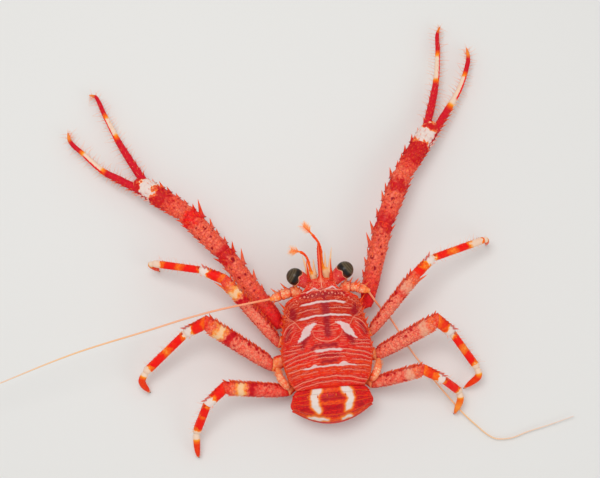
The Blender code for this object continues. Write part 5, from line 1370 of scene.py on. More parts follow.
def addFinger(form, segment, part, inner, seed):
    stripes = ((0.46, 0.72, 0, 66 if part == "finger" else 75),)
    limbShell(form, segment, around=36, scales=clawScales[part], rim=False, neck=part == "finger", seed=seed,
              lumps=0.03, stripes=stripes)
    rng = np.random.default_rng(seed)
    for row in clawSpines[part]:
        spineRow(form, segment, row, 0.22, 58, rng)
    for k in range(26):  # low teeth along the cutting edge
        place = 0.12 + 0.82 * k / 26
        size = 0.22 if k % 4 == 0 else 0.13
        spineOn(form, segment, place, inner, size, 0.14, 10, 0.0, 6)


def cheliped(side, hand, seed):
    plan = chelipeds[side]
    rng = np.random.default_rng(seed)
    joints = [mirrored(plan["root"], hand)]
    for part in ("merus", "carpus", "palm"):
        joints.append(joints[-1] + stride(*plan[part], hand))
    ways = [unit(b - a) for a, b in zip(joints, joints[1:])]
    beside = float(smoothBetween(sternumPlan["halfWidths"], plan["base"])) + 2 * gap
    start = mirrored((beside, plan["base"], 5.9), hand)
    faces = meetingFaces(ways, unit(joints[0] - start))
    coat = Form()
    pieces = [("ischium", start, joints[0], np.array([hand, 0.0, 0.0]), faces[0])]
    pieces += [(part, joints[k], joints[k + 1], faces[k], faces[k + 1])
               for k, part in enumerate(("merus", "carpus", "palm"))]
    for index, (part, first, last, startFace, endFace) in enumerate(pieces):
        width = clawWidths[part]
        height = width * {"ischium": 0.9, "palm": 0.74}.get(part, 0.86)
        shape = partShapes.get("claw " + part, partShapes.get(part))
        segment = shaft(first, last, startFace, endFace, shape, width, height, hand)
        form = Form()
        palm = part == "palm"
        limbShell(form, segment, step=0.15, around=64, scales=clawScales[part],
                  spots=plan["spots"].get(part, ()),
                  rim=not palm, seed=seed + index, lumps=0.05, stripes=((0.64, 1.0, 0, 46),) if palm else ())
        for place, length in plan["spines"].get(part, ()):
            spineOn(form, segment, place, 168, length, 0.34 + 0.08 * length, 58, -0.1 * length, 14, dark=0.25)
        for row in clawSpines[part]:
            spineRow(form, segment, row, 0.27, 60, rng, dark=0.25 if abs(row[3]) < 30 else 0.12)
        node = "cheliped_%s_%s" % (part, side)
        look = shellMaterial(
            "claw %s %s" % (part, side), ramp=bandRamp(plan["bands"].get(part, ((0, 1, "red"),))), jag=0.42,
            jagScale=650.0, mottle=("scarlet", 0.4, 650.0), net=("crimson", 0.6, 950.0, 0.15),
            light=("coral", 0.85, 1400.0), striaShare=0.9, striaInk="crimson", tipInk="orange",
            roughness=0.38,
            darkInk="crimson" if palm else "garnet", dots=("crimson", 0.35, 1000.0, 0.30))
        makePiece(node + "_shell", form, look, [node])
        scaleHairs(coat, segment, clawScales[part], 0.42, 0.03, 55, clawStrips[part], seed + index, 0.25)
    across = unit(np.cross(ways[-1], up)) * hand
    for part, shift, sink, inner in (("thumb", 1, 2.4, 182), ("finger", -1, 0.0, -2)):
        root = joints[-1] + across * fingerOffset * shift
        segment = fingerSegment(root, plan[part], clawWidths[part], hand, ways[-1], sink)
        form = Form()
        addFinger(form, segment, part, inner, seed + 5)
        look = shellMaterial(
            "claw %s %s" % (part, side), ramp=bandRamp(plan["bands"][part]), jag=0.035, jagScale=500.0,
            mottle=("crimson", 0.30, 700.0), light=("orange", 0.25, 1500.0), striaShare=0.3,
            striaInk="orange",
            darkInk="scarlet", roughness=0.34)
        replaced = ["cheliped_finger_" + side] if part == "finger" else []
        makePiece("cheliped_%s_%s_shell" % (part, side), form, look, replaced)
        for degrees, count, length in ((inner, 30, 1.2), (inner, 24, 2.6), (inner + 180, 30, 2.3),
                                       (inner + 90, 20, 1.3)):
            places = np.linspace(0.06, 0.985, count)
            hairsOn(coat, segment, places, degrees, length, 0.10, 14, clawStrips[part], seed + count, 18)
        places = np.linspace(0.93, 0.995, 16)
        hairsOn(coat, segment, places, inner, 1.6, 0.10, 40, clawStrips[part], seed + 77, 90)
    makePiece("cheliped_hairs_" + side, coat, hairLooks["gold"])


sternumPlan = {
    "halfWidths": ((-9.6, 7.4), (-6.0, 7.8), (0.0, 6.6), (5.0, 5.4), (8.5, 4.4), (11.6, 3.0)),
    "top": 7.6, "keel": 4.3, "seams": (-7.6, -3.9, 0.6, 5.0, 8.8)}
for side, hand in sides.items():
    cheliped(side, hand, 200 + 30 * hand)
report("chelipeds")


# Underside: the sternum's plates and the leg bases

def sternum():
    plan = sternumPlan
    y = np.linspace(-9.6, 11.6, 150)
    half = smoothBetween(plan["halfWidths"], y)
    turns = fullTurn(72)
    seam = np.max([np.exp(-((y - place) / 0.22) ** 2) for place in plan["seams"]], axis=0)
    middle = np.exp(-(np.cos(turns) / 0.10) ** 2) * (np.sin(turns) < 0)
    keel = plan["keel"] + 0.18 * np.maximum(y - 4.0, 0.0)
    height = (plan["top"] - keel) / 2
    c, s = np.cos(turns), np.sin(turns)
    reach = (np.abs(c) ** 3.2 + np.abs(s) ** 3.2) ** (-1 / 3.2)
    shrink = 1 - 0.045 * seam
    rings = np.zeros((len(y), len(turns), 3))
    rings[..., 0] = (half * shrink)[:, None] * (c * reach)[None]
    rings[..., 1] = y[:, None] + 0.5 * np.abs(c)[None] ** 2
    rings[..., 2] = ((plan["top"] + keel) / 2)[:, None] + (height * shrink)[:, None] * (s * reach)[None]
    rings[..., 2] += 0.25 * middle[None, :] + 0.10 * seam[:, None] * (s < 0)[None, :]
    form = Form()
    form.tube(rings, along=np.broadcast_to(((y + 9.6) / 21.2)[:, None], rings.shape[:2]),
              dark=0.35 * seam[:, None])
    for index, (name, leg) in enumerate(legs.items()):
        hand = sides[name.rsplit("_", 1)[1]]
        base, root = mirrored(leg["base"], hand), mirrored(leg["root"], hand)
        way = unit(root - base)
        face = unit(way + stride(1.0, *leg["merus"][1:], hand))
        width = leg["widths"][0] * 0.86
        for first, last, shape in ((0.25, 0.62, 1.16), (0.60, 1.0, 1.0)):  # coxa, then basis
            a, b = base + (root - base) * first, base + (root - base) * last
            part = shaft(a, b, way, face if last == 1.0 else way,
                         ((0, 0.85), (0.3, 1.0), (0.85, 1.0), (1, 0.86)),
                         width * shape, width * 0.9 * shape, hand)
            limbShell(form, part, around=32, seed=index, lumps=0.12,
                      stripes=((0.2, 0.9, 165, 50), (0.2, 0.9, 20, 25)),
                      scales={"pitch": 0.9, "columns": 11, "cover": 0.6, "rise": 0.06})
    look = shellMaterial("sternum finish", ramp=((0.0, "apricot"), (1.0, "amber")),
                         mottle=("vermilion", 0.5, 300.0),
                         light=("cream", 0.5, 600.0), darkInk="vermilion", roughness=0.42, striaInk="orange",
                         net=("vermilion", 0.7, 900.0, 0.14))
    makePiece("sternum_plates", form, look, ["sternum"])


sternum()


# Abdomen, folded beneath the body

foldPlan = {"radius": 6.0, "axisY": -13.9, "front": shellPlan["rear"] - gap, "arch": 0.039, "flat": 1.7}
# Each somite: path length, half-widths at its front and rear, thickness at its front and rear
somites = {
    "abdomen_1": (1.2, 8.9, 9.4, 4.3, 4.3), "abdomen_2": (6.6, 10.0, 10.4, 4.3, 4.2),
    "abdomen_3": (4.5, 10.2, 9.7, 4.2, 4.1), "abdomen_4": (4.3, 9.5, 8.9, 4.1, 3.8),
    "abdomen_5": (4.0, 8.7, 8.0, 3.8, 3.4), "abdomen_6": (5.2, 7.4, 6.2, 3.1, 2.3)}
somiteMarks = ((0.0, 0.16), (0.15, 0.02), (0.45, 0.0), (0.55, 0.12), (0.66, 0.14), (0.85, 0.0), (1.0, 0.05))
# White and crimson marks seen from above: (x, y, width) along each
lyre = (((-3.5, -11.9, 2.3), (-4.1, -13.2, 1.9), (-4.3, -14.8, 1.7), (-3.8, -16.2, 1.7), (-3.3, -17.2, 0.6)),
        ((3.4, -11.9, 2.1), (4.4, -13.2, 1.8), (4.6, -14.6, 1.5), (4.1, -16.0, 1.5), (3.3, -17.1, 0.6)),
        ((-5.8, -18.2, 0.6), (-3.8, -18.7, 0.9), (-1.4, -19.1, 0.4)), ((2.2, -19.1, 0.5), (4.4, -18.5, 0.7)))
orangeMarks = (((-3.4, -12.2, 0.9), (0.2, -12.0, 0.6), (3.6, -12.2, 0.9)),
               ((-4.0, -15.3, 0.9), (0.2, -15.0, 0.4), (4.2, -15.2, 0.9)),
               ((-8.0, -17.0, 0.4), (-5.0, -18.4, 0.6), (0.2, -19.3, 0.7), (5.2, -18.3, 0.6),
                (8.2, -16.8, 0.4)))
crimsonMarks = (((0.0, -11.3, 0.3), (0.01, -11.3, 0.3)), ((0.7, -11.2, 0.3), (0.71, -11.2, 0.3)),
                ((1.5, -11.2, 0.3), (1.51, -11.2, 0.3)), ((-1.8, -14.0, 1.3), (2.0, -14.0, 1.3)),
                ((-7.6, -16.3, 0.7), (-6.6, -16.4, 0.8)), ((-1.4, -16.5, 0.8), (1.6, -16.5, 0.8)),
                ((6.6, -16.2, 0.8), (7.6, -16.0, 0.7)))


def foldPoint(distance, depth, x):
    plan = foldPlan
    level, bend = plan["front"] - plan["axisY"], math.pi * plan["radius"]
    distance, depth, x = np.broadcast_arrays(distance, depth, x)
    angle = np.clip((distance - level) / plan["radius"], 0.0, math.pi)
    straight = np.minimum(distance - level, 0.0) + np.maximum(distance - level - bend, 0.0)
    radius = plan["radius"] - depth
    y = plan["axisY"] - np.sin(angle) * radius - np.cos(angle) * straight
    z = plan["radius"] + np.cos(angle) * radius - np.sin(angle) * straight
    return np.stack([x, y, z], axis=-1)


def somite(name, start, size, seed):
    length, front, rear, thick, thin = size
    last = name == "abdomen_6"
    inner = np.linspace(0.0, 1.0, max(int(length / 0.12), 10))
    # rings that tuck in under the plate before, then the plate, then its rounded rear rim
    share = np.concatenate([[0, 0, 0], inner, [1, 1, 1]])
    slide = np.concatenate([[-0.3, -0.14, 0.02], 0.13 - 0.08 * inner, [0.10, 0.12, 0.05]])
    drop = np.concatenate([[0.45, 0.2, 0.07], np.zeros(len(inner)), [0.04, 0.11, 0.24]])
    distance = (start + length * share + slide)[:, None]
    half = (front + (rear - front) * share) * (1 - 0.05 * (2 * share - 1) ** 2)
    thickness = (thick + (thin - thick) * share)[:, None]
    upper = np.sin(math.pi / 2 * np.linspace(-1, 1, 120))
    lower = np.linspace(0.96, -0.96, 34)
    x = half[:, None] * np.concatenate([upper, lower])[None]
    onTop = np.concatenate([np.ones(120, bool), np.zeros(34, bool)])[None]
    spread = np.maximum(np.abs(x) - foldPlan["flat"], 0.0) if last else np.abs(x)
    arch = np.minimum(foldPlan["arch"] * spread ** 2, thickness - 0.75)
    marks = smoothBetween(somiteMarks, share) if length > 2.0 else np.full(len(share), 0.04)
    groove = 0.0 if last else marks[:, None]
    ridge = np.zeros(x.shape)
    stria = np.zeros(x.shape)
    for k, place in enumerate((0.16, 0.42, 0.86) if length > 2.0 else (0.7,)):
        curve = 0.012 * (np.abs(x) - 3) ** 2 * (k == 0)
        off = (share[:, None] - place) * length - curve + 0.05 * np.sin(x * 3 + k)
        bump = np.where(off > 0, np.exp(-off / 0.3), 1 - eased(0.0, 0.14, -off))
        ridge = np.maximum(ridge, 0.13 * bump * onTop)
        stria = np.maximum(stria, 0.8 * np.exp(-(off / 0.11) ** 2) * onTop)
    fade = eased(0.0, 0.5, thickness - 0.75 - foldPlan["arch"] * spread ** 2 + 0.4) * (drop[:, None] == 0)
    if last:
        fade = fade * eased(1.9, 3.0, np.abs(x))
    cover = (0.12 if name == "abdomen_5" else 0.0) + arch + groove + drop[:, None] - ridge * fade * 0.8
    depth = np.where(onTop, np.minimum(cover, thickness), thickness)
    points = foldPoint(distance, depth, x)
    # down the bend the marks run on at their own size
    fallen = np.maximum(1.3 * foldPlan["radius"] - points[..., 2], 0.0)
    seenX, seenY = points[..., 0], points[..., 1] - 0.8 * fallen
    wobbleX = seenX + 0.12 * np.sin(seenY * 2.7) + 0.05 * np.sin(seenY * 7.1)
    wobbleY = seenY + 0.10 * np.sin(seenX * 3.1)
    above = (points[..., 2] > foldPlan["radius"]) * onTop
    pale = painted(wobbleX, wobbleY, lyre, 0.22) * above
    fringe = painted(wobbleX, wobbleY, lyre, 0.35, 0.45)
    stria = np.maximum(stria, 0.4 * fineRows(seenX, seenY, -20.4, -11.0, seed) * above)
    halo = np.maximum(painted(wobbleX, wobbleY, lyre, 0.6, 0.9), painted(wobbleX, wobbleY, orangeMarks, 0.6))
    halo = halo * (0.75 + 0.5 * ripple(points, 0.8, seed + 3))
    stria = np.maximum(stria, 1.1 * halo * above * (1 - pale))
    dark = painted(wobbleX, wobbleY, crimsonMarks, 0.35) * above
    form = Form()
    form.tube(points, along=np.clip(np.abs(x) / 10.0, 0, 1), pale=pale * 0.95, dark=dark * 0.55 * (1 - pale),
              stria=stria * fade, joint=0.8 * fringe * above * (1 - pale))
    if name == "abdomen_2":
        way = np.array([0.0, 0.62, 0.78])
        for place in (1.1, 3.4, 5.8):
            for hand in sides.values():
                foot = foldPoint(start + 0.7, foldPlan["arch"] * place ** 2, place * hand)
                form.spine(foot - way * 0.45, foot + way * 0.6, 0.26, 9, 0.04, along=0.2)
    look = shellMaterial(
        name + " finish", ramp=((0.0, "scarlet"), (0.25, "red"), (0.6, "red"), (0.85, "scarlet"),
                                (1.0, "vermilion")),
        mottle=("crimson", 0.8, 320.0), light=("coral", 0.4, 800.0), striaInk="orange", striaShare=0.8,
        jointInk="flame", darkInk="garnet", stretch=(1.0, 1.9, 1.0), flecks=("peach", 0.4, 1500.0, 0.24),
        net=("garnet", 0.7, 1100.0, 0.14))
    makePiece(name + "_plate", form, look, [name])
    edge, before = points[-4, 2:118], points[-9, 2:118]
    uv = np.stack([np.linspace(0.02, 0.98, len(edge)), np.full(len(edge), 0.15 * seed)], -1)
    coat.hairs(edge, edge - before, 0.35, 0.03, uv, 0.1, seed)


coat = Form()
pathStart = 0.0
for index, (name, size) in enumerate(somites.items()):
    somite(name, pathStart, size, index + 1)
    pathStart += size[0]


# Tail fan, folded forward: telson and two pairs of blades

lobeShape = ((0.0, 0.55), (0.08, 0.70), (0.2, 0.82), (0.5, 1.0), (0.8, 0.88), (0.93, 0.58), (1.0, 0.20))


def fanBlade(form, root, way, length, halfWidth, thickness, tilt, seams, uvStart, seed):
    count = 44
    shares = np.linspace(0, 1, count)
    width = halfWidth * smoothBetween(lobeShape, shares)
    side = unit(np.cross(way, up))
    c = np.cos(fullTurn(48))
    thick = thickness / 2 * (1 - 0.5 * shares ** 2)
    centres = root + way * (length * shares)[:, None] + up * (tilt * shares * length)[:, None]
    score = np.max([np.exp(-((c - place) / 0.05) ** 2) for place in seams], axis=0)
    rings = ovals(centres, side, up, width[:, None], thick[:, None] * (1 - 0.25 * score)[None], 48)
    if halfWidth > 3:
        rings[..., 2] -= 0.06 * np.sin(shares * 19)[:, None] * (1 - c ** 2)[None]
    edges = np.broadcast_to(shares[:, None], rings.shape[:2])
    form.tube(rings, along=edges, dark=np.broadcast_to(0.4 * score, rings.shape[:2]), stria=0.5 * edges ** 3)
    at = np.minimum(np.arange(14, count, 0.5), count - 1)  # the hairs' places, two to a ring
    low = at.astype(int)
    part, high = (at - low)[:, None], np.minimum(low + 1, count - 1)
    centre = centres[low] * (1 - part) + centres[high] * part
    reach = width[low, None] * (1 - part) + width[high, None] * part
    along = shares[low, None]
    roots, ways, uv = [], [], []
    for hand in (-1, 1):
        roots.append(centre + side * reach * 0.96 * hand)
        ways.append(side * hand * (1.1 - along) + way * (0.25 + along))
        uv.append(np.stack([uvStart + 0.05 * (hand + 1) + 0.001 * low, 0.98 - 0.02 * (count - 1 - at)], -1))
    coat.hairs(*(np.concatenate(rows) for rows in (roots, ways)), 0.9, 0.035, np.concatenate(uv), 0.08, seed)


def tailFan():
    root = foldPoint(pathStart + gap, 1.15, 0.0)
    look = shellMaterial("tail fan", ramp=((0.0, "red"), (0.5, "vermilion"), (0.85, "salmon"),
                                           (1.0, "apricot")),
                         mottle=("crimson", 0.35, 500.0), light=("amber", 0.35, 900.0), darkInk="crimson")
    form = Form()
    fanBlade(form, root, ahead, 5.6, 3.4, 1.2, 0.12, (-0.45, 0.0, 0.45), 0.02, 61)
    makePiece("telson_plate", form, look, ["telson"])
    for index, (side, hand) in enumerate(sides.items()):
        form = Form()
        bladeRoot = root + np.array([4.25 * hand, 0.0, 0.15])
        fanBlade(form, bladeRoot, stride(1.0, 26.0, 0.0, hand), 5.4, 1.65, 0.96, 0.10, (0.0,),
                 0.2 + 0.4 * index, 62)
        outerRoot = bladeRoot + np.array([1.0 * hand, 0.9, 0.0])
        fanBlade(form, outerRoot, stride(1.0, 58.0, 0.0, hand), 5.0, 1.7, 0.96, 0.05, (0.0,),
                 0.4 + 0.4 * index, 63)
        makePiece("uropod_" + side + "_blades", form, look, ["uropod_" + side])


tailFan()
makePiece("abdomen_hairs", coat, hairLooks["gold"])
report("abdomen")


# Eyes

eyePlan = {"root": (3.3, 14.9, 11.0), "centre": {"left": (6.1, 16.45, 11.9), "right": (6.3, 16.95, 11.9)},
           "radius": 2.15, "cut": 1.05, "flatten": 0.97}


def eyes():
    plan = eyePlan
    stalkLook = shellMaterial("eyestalk finish", ramp=((0.0, "crimson"), (0.5, "rose"), (1.0, "rose")),
                              mottle=("crimson", 0.4, 600.0), light=("salmon", 0.7, 700.0), roughness=0.3,
                              coat=0.3,
                              glow=0.8, paleInk="peach", flecks=("peach", 0.4, 1400.0, 0.3))
    eyeLook = corneaMaterial()
    for side, hand in sides.items():
        root, centre = mirrored(plan["root"], hand), mirrored(plan["centre"][side], hand)
        way, reach = unit(centre - root), np.linalg.norm(centre - root)
        neck = math.sqrt(plan["radius"] ** 2 - plan["cut"] ** 2)
        shares = np.linspace(0, 1, 24)
        centres = root + way * (shares * (reach - plan["cut"] - 0.12))[:, None]
        widths = 2 * neck * smoothBetween(((0, 0.9), (0.4, 0.9), (0.75, 0.98), (0.95, 1.03), (1.0, 1.02)),
                                          shares)
        segment = Segment(centres, widths, widths, hand)
        form = Form()
        limbShell(form, segment, around=40, rim=None, neck=False, seed=7, lumps=0.05)
        turns = fullTurn(80)
        across = unit(np.cross(way, up))
        over = np.cross(across, way)
        around = across * np.cos(turns)[:, None] + over * np.sin(turns)[:, None] * plan["flatten"]
        # the stalk's pale rim laps over the back of the eye, further on top
        lap = 16 * np.exp(-(np.cos(turns) / 0.32) ** 2) * (np.sin(turns) > 0)
        reachBack = np.radians(62 + lap + 1.5 * np.sin(turns * 5))
        shares = np.linspace(0, 1, 14)[:, None]
        back = math.radians(46) + (reachBack[None] - math.radians(46)) * shares
        shell = plan["radius"] * np.where(shares < 0.99, 1.035, 0.99)
        cup = (centre - way * (shell * np.cos(back))[..., None]
               + around[None] * (shell * np.sin(back))[..., None])
        form.tube(cup, along=0.8 + np.zeros(cup.shape[:2]),
                  pale=0.9 * eased(0.75, 0.95, shares) + np.zeros(80))
        makePiece("eyestalk_" + side + "_skin", form, stalkLook, ["eyestalk_" + side])
        angles = np.linspace(math.acos(-plan["cut"] / plan["radius"]) + 0.04, 0.03, 60)
        spread = plan["radius"] * np.sin(angles)[:, None]
        rings = ovals(centre + way * (plan["radius"] * np.cos(angles))[:, None], across, over, spread,
                      spread * plan["flatten"], 80)
        form = Form()
        form.tube(rings, along=np.broadcast_to((1 - angles / angles[0])[:, None], rings.shape[:2]))
        makePiece("eye_" + side + "_cornea", form, eyeLook, ["eye_" + side])
        fringe = Form()
        edge = cup[-2]
        uv = np.stack([turns / turnOnce * 0.98, np.full(80, 0.5)], -1)
        fringe.hairs(edge, (edge - centre) * 0.5 + way * 1.2, 0.45, 0.035, uv, 0.1, 5)
        makePiece("eye_" + side + "_lashes", fringe, hairLooks["orange"])


def corneaMaterial():
    material, g, sockets = newMaterial("cornea", {"Roughness": 0.34, "Specular IOR Level": 0.2,
                                                  "Coat Weight": 0.2,
                                                  "Coat Roughness": 0.05})
    where = g.places()
    bands = ((0.0, (130, 52, 36)), (0.2, (34, 24, 18)), (0.34, (38, 28, 20)), (0.44, (112, 96, 74)),
             (0.5, (84, 71, 52)), (0.56, (114, 98, 76)), (0.64, (76, 63, 46)), (0.72, (104, 88, 66)),
             (0.85, (60, 48, 34)), (1.0, (84, 60, 42)))
    colour = g.ramp(g.mask("along"), [(place, ink(*seen)) for place, seen in bands])
    cloudy = g.effect("mottle", where, Scale=300.0, Contrast=2.5)
    colour = g.blend(g.times(cloudy, 0.4), colour, ink(62, 50, 34))
    facets = g.cells(where, 9500.0, 0.15)["Distance"]
    colour = g.blend(g.range(facets, 0.3, 0.7, (0.0, 0.35)), colour, ink(24, 18, 15))
    g.feed(sockets["Base Color"], colour)
    height = g.range(facets, 0.0, 0.6, (1.0, 0.0))
    bump = g.node("Bump", {"Height": height, "Strength": 0.35, "Distance": 0.04 * mm})
    g.feed(sockets["Normal"], bump.outputs["Normal"])
    return material


eyes()


# Feelers

antennules = {
    "left": {"route": ((1.5, 14.4, 10.0), (1.9, 16.6, 10.2), (2.2, 18.4, 10.8), (2.8, 21.0, 12.0),
                       (4.0, 22.2, 12.7), (6.3, 22.9, 13.0)),
                       "spines": (((1.15, 16.6, 10.4), (1.2, 20.6, 11.4)),
                                  ((2.7, 16.8, 10.4), (3.9, 21.8, 11.8)))},
    "right": {"route": ((1.6, 14.4, 10.0), (1.6, 16.6, 10.2), (0.95, 18.8, 10.9), (0.75, 23.4, 12.3),
                        (-0.2, 25.4, 12.8), (-2.8, 28.8, 13.0)),
                        "spines": (((1.5, 16.7, 10.4), (1.85, 22.3, 11.6)),
                                   ((2.4, 16.8, 10.4), (3.6, 23.1, 11.9)))}}
antennuleWidths = ((0.0, 2.0), (0.12, 2.45), (0.2, 2.3), (0.25, 1.5), (0.28, 0.95), (0.31, 0.72),
                   (0.46, 0.62), (0.50, 0.78),
                   (0.54, 0.6), (0.74, 0.62), (0.78, 0.74), (0.83, 0.5), (1.0, 0.22))
antennaePlan = {
    "left": {"root": ((5.2, 12.3, 9.3), (6.3, 12.9, 9.6), (9.3, 12.5, 10.0), (12.3, 11.75, 10.0)),
             "whip": ((17.2, 10.9, 12.6), (25.1, 9.7, 14.8), (33.7, 8.1, 15.8), (42.4, 6.2, 16.0),
                      (61.0, 2.4, 15.0), (80.1, -2.8, 12.0), (95.9, -7.3, 8.0))},
    "right": {"root": ((5.2, 12.4, 9.3), (6.3, 13.0, 9.6), (9.0, 12.6, 10.0), (11.5, 11.6, 10.0)),
              "whip": ((14.5, 7.3, 6.6), (16.7, 4.6, 5.5), (20.9, -3.4, 4.2), (26.0, -11.4, 3.0),
                       (31.8, -19.4, 1.7), (35.2, -23.3, 1.1), (39.4, -27.1, 0.9), (43.6, -27.6, 0.9),
                       (48.3, -26.4, 0.9), (54.4, -25.1, 1.0), (60.1, -23.7, 1.2))}}
peduncleShape = ((0.0, 0.9), (0.16, 1.05), (0.32, 1.08), (0.37, 0.84), (0.42, 0.96), (0.55, 0.92),
                 (0.66, 1.02),
                 (0.70, 0.80), (0.74, 0.92), (0.9, 0.80), (1.0, 0.52))
peduncleLines = ((0.345, 0.375, 0, 200), (0.68, 0.71, 0, 200), (0.0, 1.1, 172, 22), (0.2, 1.1, 8, 14))
peduncleWidth = 2.5
whipRadii = (0.27, 0.12)
feelerSpines = {"left": ((0.12, 155, 0.7), (0.22, 165, 0.9), (0.58, 160, 0.9), (0.68, 175, 0.7),
                         (0.46, 165, 2.3), (0.80, 150, 2.0), (0.95, 10, 0.9), (0.3, 20, 0.5)),
                "right": ((0.12, 155, 0.7), (0.22, 165, 0.9), (0.62, 160, 0.8), (0.70, 175, 0.8),
                          (0.34, 160, 1.5), (0.52, 150, 1.7), (0.86, 165, 1.5), (0.7, 15, 0.7))}


def antennule(side, hand, look):
    plan = antennules[side]
    points = [mirrored(point, hand) for point in plan["route"]]
    segment = taperedLimb(points, 90, 1.0, antennuleWidths, 0.85, hand)
    form = Form()
    limbShell(form, segment, around=28, rim=False, neck=False, seed=3, lumps=0.03)
    for root, tip in plan["spines"]:
        form.spine(mirrored(root, hand), mirrored(tip, hand), 0.42, 12, 0.1, (0.8, 6), 0.7, along=0.15)
    for k in range(5):
        spineOn(form, segment, 0.04 + 0.035 * k, 60 + 25 * k, 0.4, 0.14, 55, 0.0, 7)
    # the second, shorter branch beside the first, from the joint near the tip
    start = segment.read(segment.centres, np.array(0.78))
    way = segment.read(segment.ways, np.array(0.9))
    branch = smoothPath([start, start + way * 1.2 + up * 0.25, start + way * 2.6 + up * 0.1], 24)
    second = Segment(branch, np.linspace(0.36, 0.14, 24), np.linspace(0.36, 0.14, 24), hand)
    limbShell(form, second, around=14, rim=False, neck=False)
    makePiece("antennule_" + side + "_shell", form, look, ["antennule_" + side])
    coat = Form()
    for degrees in (-80, -40, 0, 40, 80, 180):
        places = np.linspace(0.86, 0.99, 40)
        hairsOn(coat, segment, places, degrees, 1.7, 0.06, 44, (0.0, 0.9), 400 + degrees, 14)
    for degrees in (80, 170, 350):
        places = np.linspace(0.28, 0.76, 40)
        hairsOn(coat, segment, places, degrees, 0.4, 0.025, 50, (0.0, 0.9), 500 + degrees)
    makePiece("antennule_" + side + "_tuft", coat, hairLooks["orange"])


def antenna(side, hand, baseLook, whipLook):
    plan = antennaePlan[side]
    points = [mirrored(point, hand) for point in plan["root"]]
    segment = taperedLimb(points, 60, peduncleWidth, peduncleShape, 0.9, hand)
    form = Form()
    limbShell(form, segment, around=40, rim=False, neck=False, seed=9, lumps=0.16, stripes=peduncleLines,
              scales={"pitch": 0.7, "columns": 11, "cover": 0.7, "rise": 0.12})
    root = mirrored((5.6, 12.2, 9.6), hand)
    form.spine(root, root + [0.9 * hand, 2.9, 0.7], 0.95, 16, 0.1, (0.0, 6), 0.8, along=0.9)
    for place, degrees, length in feelerSpines[side]:
        spineOn(form, segment, place, degrees, length, 0.2 + 0.1 * length, 30, 0.05, 10, dark=0.5)
    makePiece("antenna_base_" + side + "_shell", form, baseLook, ["antenna_base_" + side])
    whip = [mirrored(point, hand) for point in plan["whip"]]
    way = unit(whip[0] - points[-1])
    route = [points[-1] + way * 0.05] + whip
    length = sum(np.linalg.norm(b - a) for a, b in zip(route, route[1:]))
    rings = int(length / 0.14)
    centres = smoothPath(route, rings)
    shares = np.linspace(0, 1, rings)
    radii = whipRadii[0] + (whipRadii[1] - whipRadii[0]) * shares ** 1.5
    ring = np.arange(rings) % 4
    widths = 2 * radii * np.where(ring == 0, 0.86, np.where(ring == 2, 1.04, 1.0))
    segment = Segment(centres, widths, widths, hand)
    place, angle = segment.places[:, None], fullTurn(12)[None]
    skin, _ = segment.surface(place, angle)
    form = Form()
    dark = np.broadcast_to((ring == 0)[:, None] * 0.35, skin.shape[:2])
    form.tube(skin, along=np.broadcast_to(place, skin.shape[:2]), dark=dark)
    makePiece("antenna_flagellum_" + side + "_rings", form, whipLook, ["antenna_flagellum_" + side])


feelerLook = shellMaterial("feeler finish", ramp=((0.0, "apricot"), (0.1, "straw"), (0.2, "straw"),
                                                  (0.25, "flame"), (0.4, "orange"), (0.55, "vermilion"),
                                                  (0.8, "vermilion"),
                                 (1.0, "amber")),
                           mottle=("scarlet", 0.5, 500.0), light=("amber", 0.5, 900.0), striaInk="cream",
                           tipInk="straw", tipShare=0.9, net=("orange", 0.8, 1300.0, 0.16))
baseLook = shellMaterial("feeler root finish", ramp=((0.0, "vermilion"), (0.15, "orange"), (0.6, "orange"),
                                                     (1.0, "amber")),
                         mottle=("vermilion", 0.6, 420.0), light=("straw", 0.9, 700.0), striaInk="scarlet",
                         striaShare=0.6,
                         darkInk="crimson", net=("vermilion", 0.8, 1100.0, 0.14), tipInk="orange",
                         flecks=("cream", 0.5, 1300.0, 0.3))
whipLook = shellMaterial("whip finish", ramp=((0.0, "apricot"), (0.2, "peach"), (0.6, "straw"),
                                              (1.0, "milk")),
                         mottle=("apricot", 0.4, 120.0), light=("cream", 0.3, 600.0), darkInk="apricot",
                         flecks=("cream", 0.0, 900.0, 0.2))
for side, hand in sides.items():
    antennule(side, hand, feelerLook)
    antenna(side, hand, baseLook, whipLook)


# Mouth limbs and the small last legs

maxillipedRoute = ((2.2, 11.95, 6.2), (2.9, 13.6, 6.7), (3.1, 16.0, 6.8), (2.3, 17.4, 6.1), (1.7, 16.6, 5.0))
maxillipedWidths = ((0.0, 1.5), (0.12, 1.9), (0.26, 1.95), (0.34, 1.55), (0.38, 1.75), (0.52, 1.45),
                    (0.58, 1.2),
                    (0.62, 1.35), (0.76, 1.2), (0.80, 0.95), (0.84, 1.05), (1.0, 0.45))
lastLegRoute = ((10.2, -10.2, 7.05), (10.9, -9.6, 7.95), (12.0, -7.9, 8.4), (12.5, -5.8, 8.1))
lastLegWidths = ((0.0, 1.5), (0.2, 1.85), (0.4, 1.95), (0.46, 1.8), (0.5, 1.95), (0.75, 1.8), (0.8, 1.6),
                 (1.0, 1.2))


def softLimb(name, route, widths, hand, look, tufts, seed):
    segment = taperedLimb([mirrored(point, hand) for point in route], 60, 1.0, widths, 0.9, hand)
    form = Form()
    limbShell(form, segment, around=32, rim=False, neck=False, seed=seed, lumps=0.04)
    for k in range(6):
        spineOn(form, segment, 0.1 + 0.1 * k, 175, 0.5, 0.16, 50, 0.0, 7)
    makePiece(name + "_shell", form, look, [name])
    coat = Form()
    for first, last, count, degrees, length in tufts:
        hairsOn(coat, segment, np.linspace(first, last, count), degrees, length, 0.035, 35, (0.0, 0.9),
                seed + degrees, 24)
    makePiece(name + "_hairs", coat, hairLooks["gold"])


